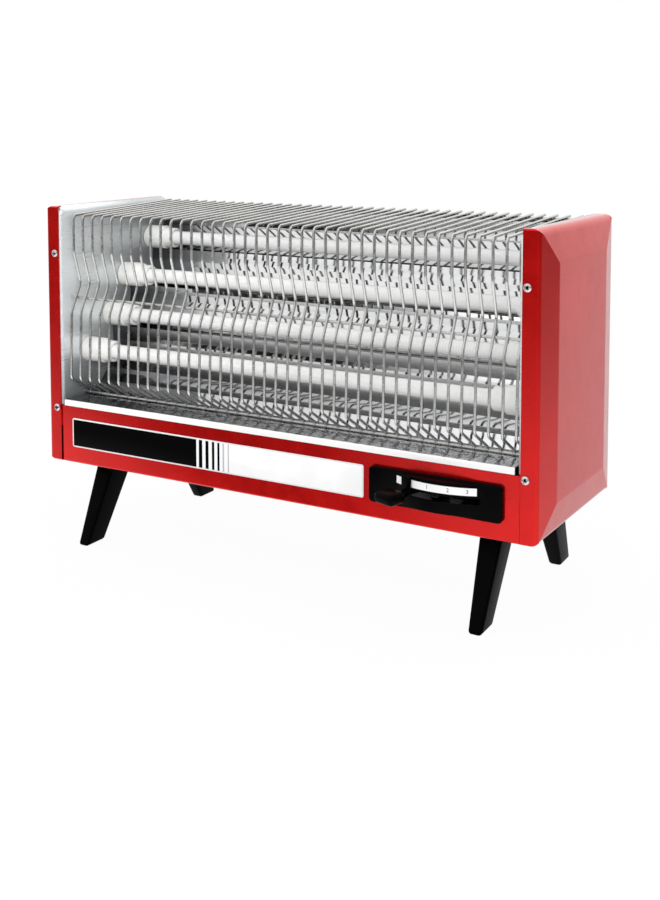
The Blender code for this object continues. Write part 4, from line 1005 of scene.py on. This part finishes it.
# Legs: the place of each top, and which way its foot is set
LEGS = {
    "front_left_leg": (-0.236, 0.0625, -1),
    "front_right_leg": (0.222, 0.0625, -1),
    "rear_left_leg": (-0.227, 0.1635, 1),
    "rear_right_leg": (0.230, 0.1635, 1),
}
LEG_TOP, LEG_FOOT, LEG_LEAN = (0.024, 0.038), (0.0135, 0.029), 0.0485
for node, (x, y, lean) in LEGS.items():
    low = (x - LEG_TOP[0] / 2, depth(y - LEG_TOP[1] / 2), 0)
    high = spot(x + LEG_TOP[0] / 2, y + LEG_TOP[1] / 2, SHEET)
    limb = box_mesh("limb", low, high)
    foot_y = depth(y + lean * LEG_LEAN)
    for vert in limb.vertices:
        if vert.co.z < LEG_HEIGHT / 2:
            vert.co.x = x + (vert.co.x - x) * LEG_FOOT[0] / LEG_TOP[0]
            vert.co.y = foot_y + (vert.co.y - depth(y)) * LEG_FOOT[1] / LEG_TOP[1]
    limb.update()
    leg_mesh = finished(limb, "limb", rounded(0.0032, 6))
    piece(node.replace("_leg", "_limb"), leg_mesh, LEG_BLACK, [node])

# Screws: a domed head with a cross recess. For each kind its node, the way it faces, its
# depth, the numbers that turn each cross its own way, and its levels
HEAD = [(0.0, 0.0022), (0.0016, 0.00212), (0.0029, 0.0017), (0.0037, 0.0010), (0.0040, 0.0004)]
SHANK = [(0.0040, 0.0), (0.0017, 0.0), (0.0017, -0.008), (0.0, -0.008)]
RECESS = ((0.0026, 0.0010), (0.0010, 0.0026))
SCREWS = {
    "lip_screw": ("front_screw", 90, -GAP, (17, 31, 400), FRONT_SCREWS),
    "back_screw": ("rear_screw", -90, BODY_DEPTH + GAP, (48, 23, 700), REAR_SCREWS),
}


def screw_mesh(place, facing, spin):
    blank = lathe("screw", HEAD + SHANK, (0, 0, 0), 32, "Z", closed=False)
    bars = [box_mesh("bar", (-x, -y, 0.0002), (x, y, 0.003)) for x, y in RECESS]
    done = carved("screw", blank, cutters=bars)
    facing, spin = math.radians(facing), math.radians(spin)
    turn = Matrix.Rotation(facing, 4, "X") @ Matrix.Rotation(spin, 4, "Z")
    done.transform(Matrix.Translation(place) @ turn)
    return done


for side, side_name in ((-1, "left"), (1, "right")):
    for kind, (node, facing, y, turns, levels) in SCREWS.items():
        for level, z in levels.items():
            spin = turns[0] + turns[1] * side + turns[2] * z
            mesh = screw_mesh(spot(side * SCREW_X, y, z), facing, spin)
            ending = f"_{side_name}_{level}"
            piece(kind + ending, mesh, SCREW_STEEL, [node + ending])

# Cord gland
GLAND_BORE, GLAND_THREAD, GLAND_RIM = 0.00425, 0.006, 0.009
gland = [
    (GLAND_BORE, 0.014),
    (GLAND_BORE, -0.007),
    (GLAND_THREAD, -0.007),
    (GLAND_THREAD, 0.0003),
    (GLAND_RIM, 0.0003),
    (GLAND_RIM, 0.00467),
    (GLAND_THREAD, 0.014),
]
gland_place = spot(0.200, BODY_DEPTH - SHEET - GAP, 0.034)
piece("gland", lathe("gland", soften(gland, 0.0008), gland_place, 40, "Y"), BLACK, ["cord_gland"])

# The parts that keep their shape from the frame
FINISHES = {
    "back_panel": DARK,
    "base_tray": SHADE_DARKENED_STEEL,
    "left_bus_bar": ZINC,
    "switch_bracket": SHADE_DARKENED_STEEL,
    "rotary_switch": BLACK,
    "terminal_block": CERAMIC,
    "heater_lead": WHITE_SLEEVE,
    "switch_lead": BLACK_SLEEVE,
    "mains_lead": BLACK_SLEEVE,
}
FINISHES.update({f"heating_coil_{i}": COIL for i in range(1, len(TUBES) + 1)})
FINISHES.update({f"{node}_screw": SCREW_STEEL for node in LEGS})
for node, surface in FINISHES.items():
    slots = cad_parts[node].data.materials
    slots.clear()
    slots.append(surface.mat)

# Camera
scene = bpy.context.scene
camera_data = bpy.data.cameras.new("camera")
camera_data.lens = 47.03
camera_data.sensor_width = 36.0
camera_data.shift_x, camera_data.shift_y = -0.01047, -0.27224
camera = placed("camera", camera_data)
camera.location = (0.61682, depth(-0.95368), height(0.37125))
camera.rotation_euler = (math.radians(90 - 4.139), 0, math.radians(29.211))
scene.camera = camera
scene.view_settings.view_transform = "Standard"


# Lamps: two wide soft ones, and a spot that lights the left end of the chamber
def lamp(name, kind, place, target, power, **settings):
    data = bpy.data.lights.new(name, kind)
    data.energy = power
    for key, value in settings.items():
        setattr(data, key, value)
    obj = placed(name, data)
    obj.location = place
    obj.rotation_euler = (Vector(target) - Vector(place)).to_track_quat("-Z", "Y").to_euler()
    obj.visible_camera = obj.visible_glossy = False


lamp("key", "AREA", (-0.9, -1.5, 1.5), (0, 0, 0.2), 5, size=1.0)
lamp("fill", "AREA", (1.5, -1.0, 0.9), (0.1, 0, 0.2), 3, size=1.0)
beam = dict(spot_size=math.radians(26), spot_blend=0.6, shadow_soft_size=0.12)
lamp("chamber", "SPOT", (0.30, -0.60, 0.50), (-0.26, -0.02, 0.30), 14.0, **beam)

# Surroundings: plain white to the camera and through the glass, an even soft light on matt
# surfaces, and for reflections a bright room behind the heater and a darker one in front
world = bpy.data.worlds.new("surroundings")
scene.world = world
world.use_nodes = True
world.node_tree.nodes.clear()
light = Shading(world.node_tree)


def step(value, low, high, to_low=0.0, to_high=1.0):
    return light.spread(value, low, high, to_low, to_high, interpolation_type="SMOOTHSTEP")


def total(a, b):
    return light.math("ADD", a, b)


def times(a, b):
    return light.math("MULTIPLY", a, b)


def brighter(a, b):
    return light.math("MAXIMUM", a, b)


def blend(factor, a, b):
    """a where the factor is 0, b where it is 1."""
    return total(times(a, light.math("SUBTRACT", 1.0, factor)), times(b, factor))


# Which way a ray goes: to the right, back and up, and how far it turns to the right
right, back, up = light.axes(light.node("ShaderNodeTexCoord").outputs["Generated"])
level_run = light.math("SQRT", total(times(right, right), times(back, back)))
turn = light.math("DIVIDE", right, brighter(level_run, 0.01))

# Behind the heater: open sky, but far to the right only light from below
low_light = step(up, -0.36, -0.05, 0.97, 0.22)
sky = total(step(up, -0.05, 0.10, 0.80, 1.05), step(up, 0.2, 0.8, 0.0, 0.45))
rear = blend(step(turn, 0.46, 0.56), sky, low_light)

# In front of it: dark, but for the upper left, the floor and two bright ends low down
ends = brighter(step(turn, -0.52, -0.38, 0.0, 1.4), step(turn, -0.70, -0.60, 1.5, 0.0))
ends = times(ends, step(up, -0.30, -0.12, 1.0, 0.0))
camera_side = brighter(step(turn, -0.12, 0.10, 0.02, 0.15), ends)
upper_left = brighter(step(turn, 0.25, 0.45, 1.0, 0.12), step(up, 0.3, 0.6))
upper_front = times(step(up, -0.07, 0.03), upper_left)
near_floor = brighter(camera_side, step(up, -0.60, -0.44, 0.9, 0.0))
room = blend(step(back, -0.06, 0.06), brighter(upper_front, near_floor), rear)

rays = light.node("ShaderNodeLightPath").outputs
seen = brighter(rays["Is Camera Ray"], rays["Is Transmission Ray"])
soft = total(step(back, -0.8, 0.5, 0.98, 0.90), step(up, -0.2, 0.9, 0.0, 0.20))
strength = blend(seen, blend(rays["Is Diffuse Ray"], room, soft), 1.0)
backdrop = light.node("ShaderNodeBackground")
backdrop.inputs["Color"].default_value = (1, 1, 1, 1)
light.link(strength, backdrop.inputs["Strength"])
light.link(backdrop.outputs[0], light.node("ShaderNodeOutputWorld").inputs[0])

# Floor: pale, white to the camera but for the heater's soft shadow
floor_bm = bmesh.new()
bmesh.ops.create_grid(floor_bm, x_segments=1, y_segments=1, size=6.0)
floor = placed("floor", mesh_of("floor", floor_bm))
paint = bpy.data.materials.new("floor_paint")
paint.use_nodes = True
paint.node_tree.nodes.clear()
ground = Shading(paint.node_tree)
matt = ground.node("ShaderNodeBsdfDiffuse")
matt.inputs["Color"].default_value = (0.9, 0.9, 0.9, 1)
glow = ground.node("ShaderNodeEmission")
camera_ray = ground.node("ShaderNodeLightPath").outputs["Is Camera Ray"]
share = ground.math("MULTIPLY", camera_ray, 0.96)
mixed = ground.node("ShaderNodeMixShader")
for socket, output in zip(mixed.inputs, (share, matt.outputs[0], glow.outputs[0])):
    ground.link(output, socket)
ground.link(mixed.outputs[0], ground.node("ShaderNodeOutputMaterial").inputs["Surface"])
floor.data.materials.append(paint)
floor.visible_glossy = False
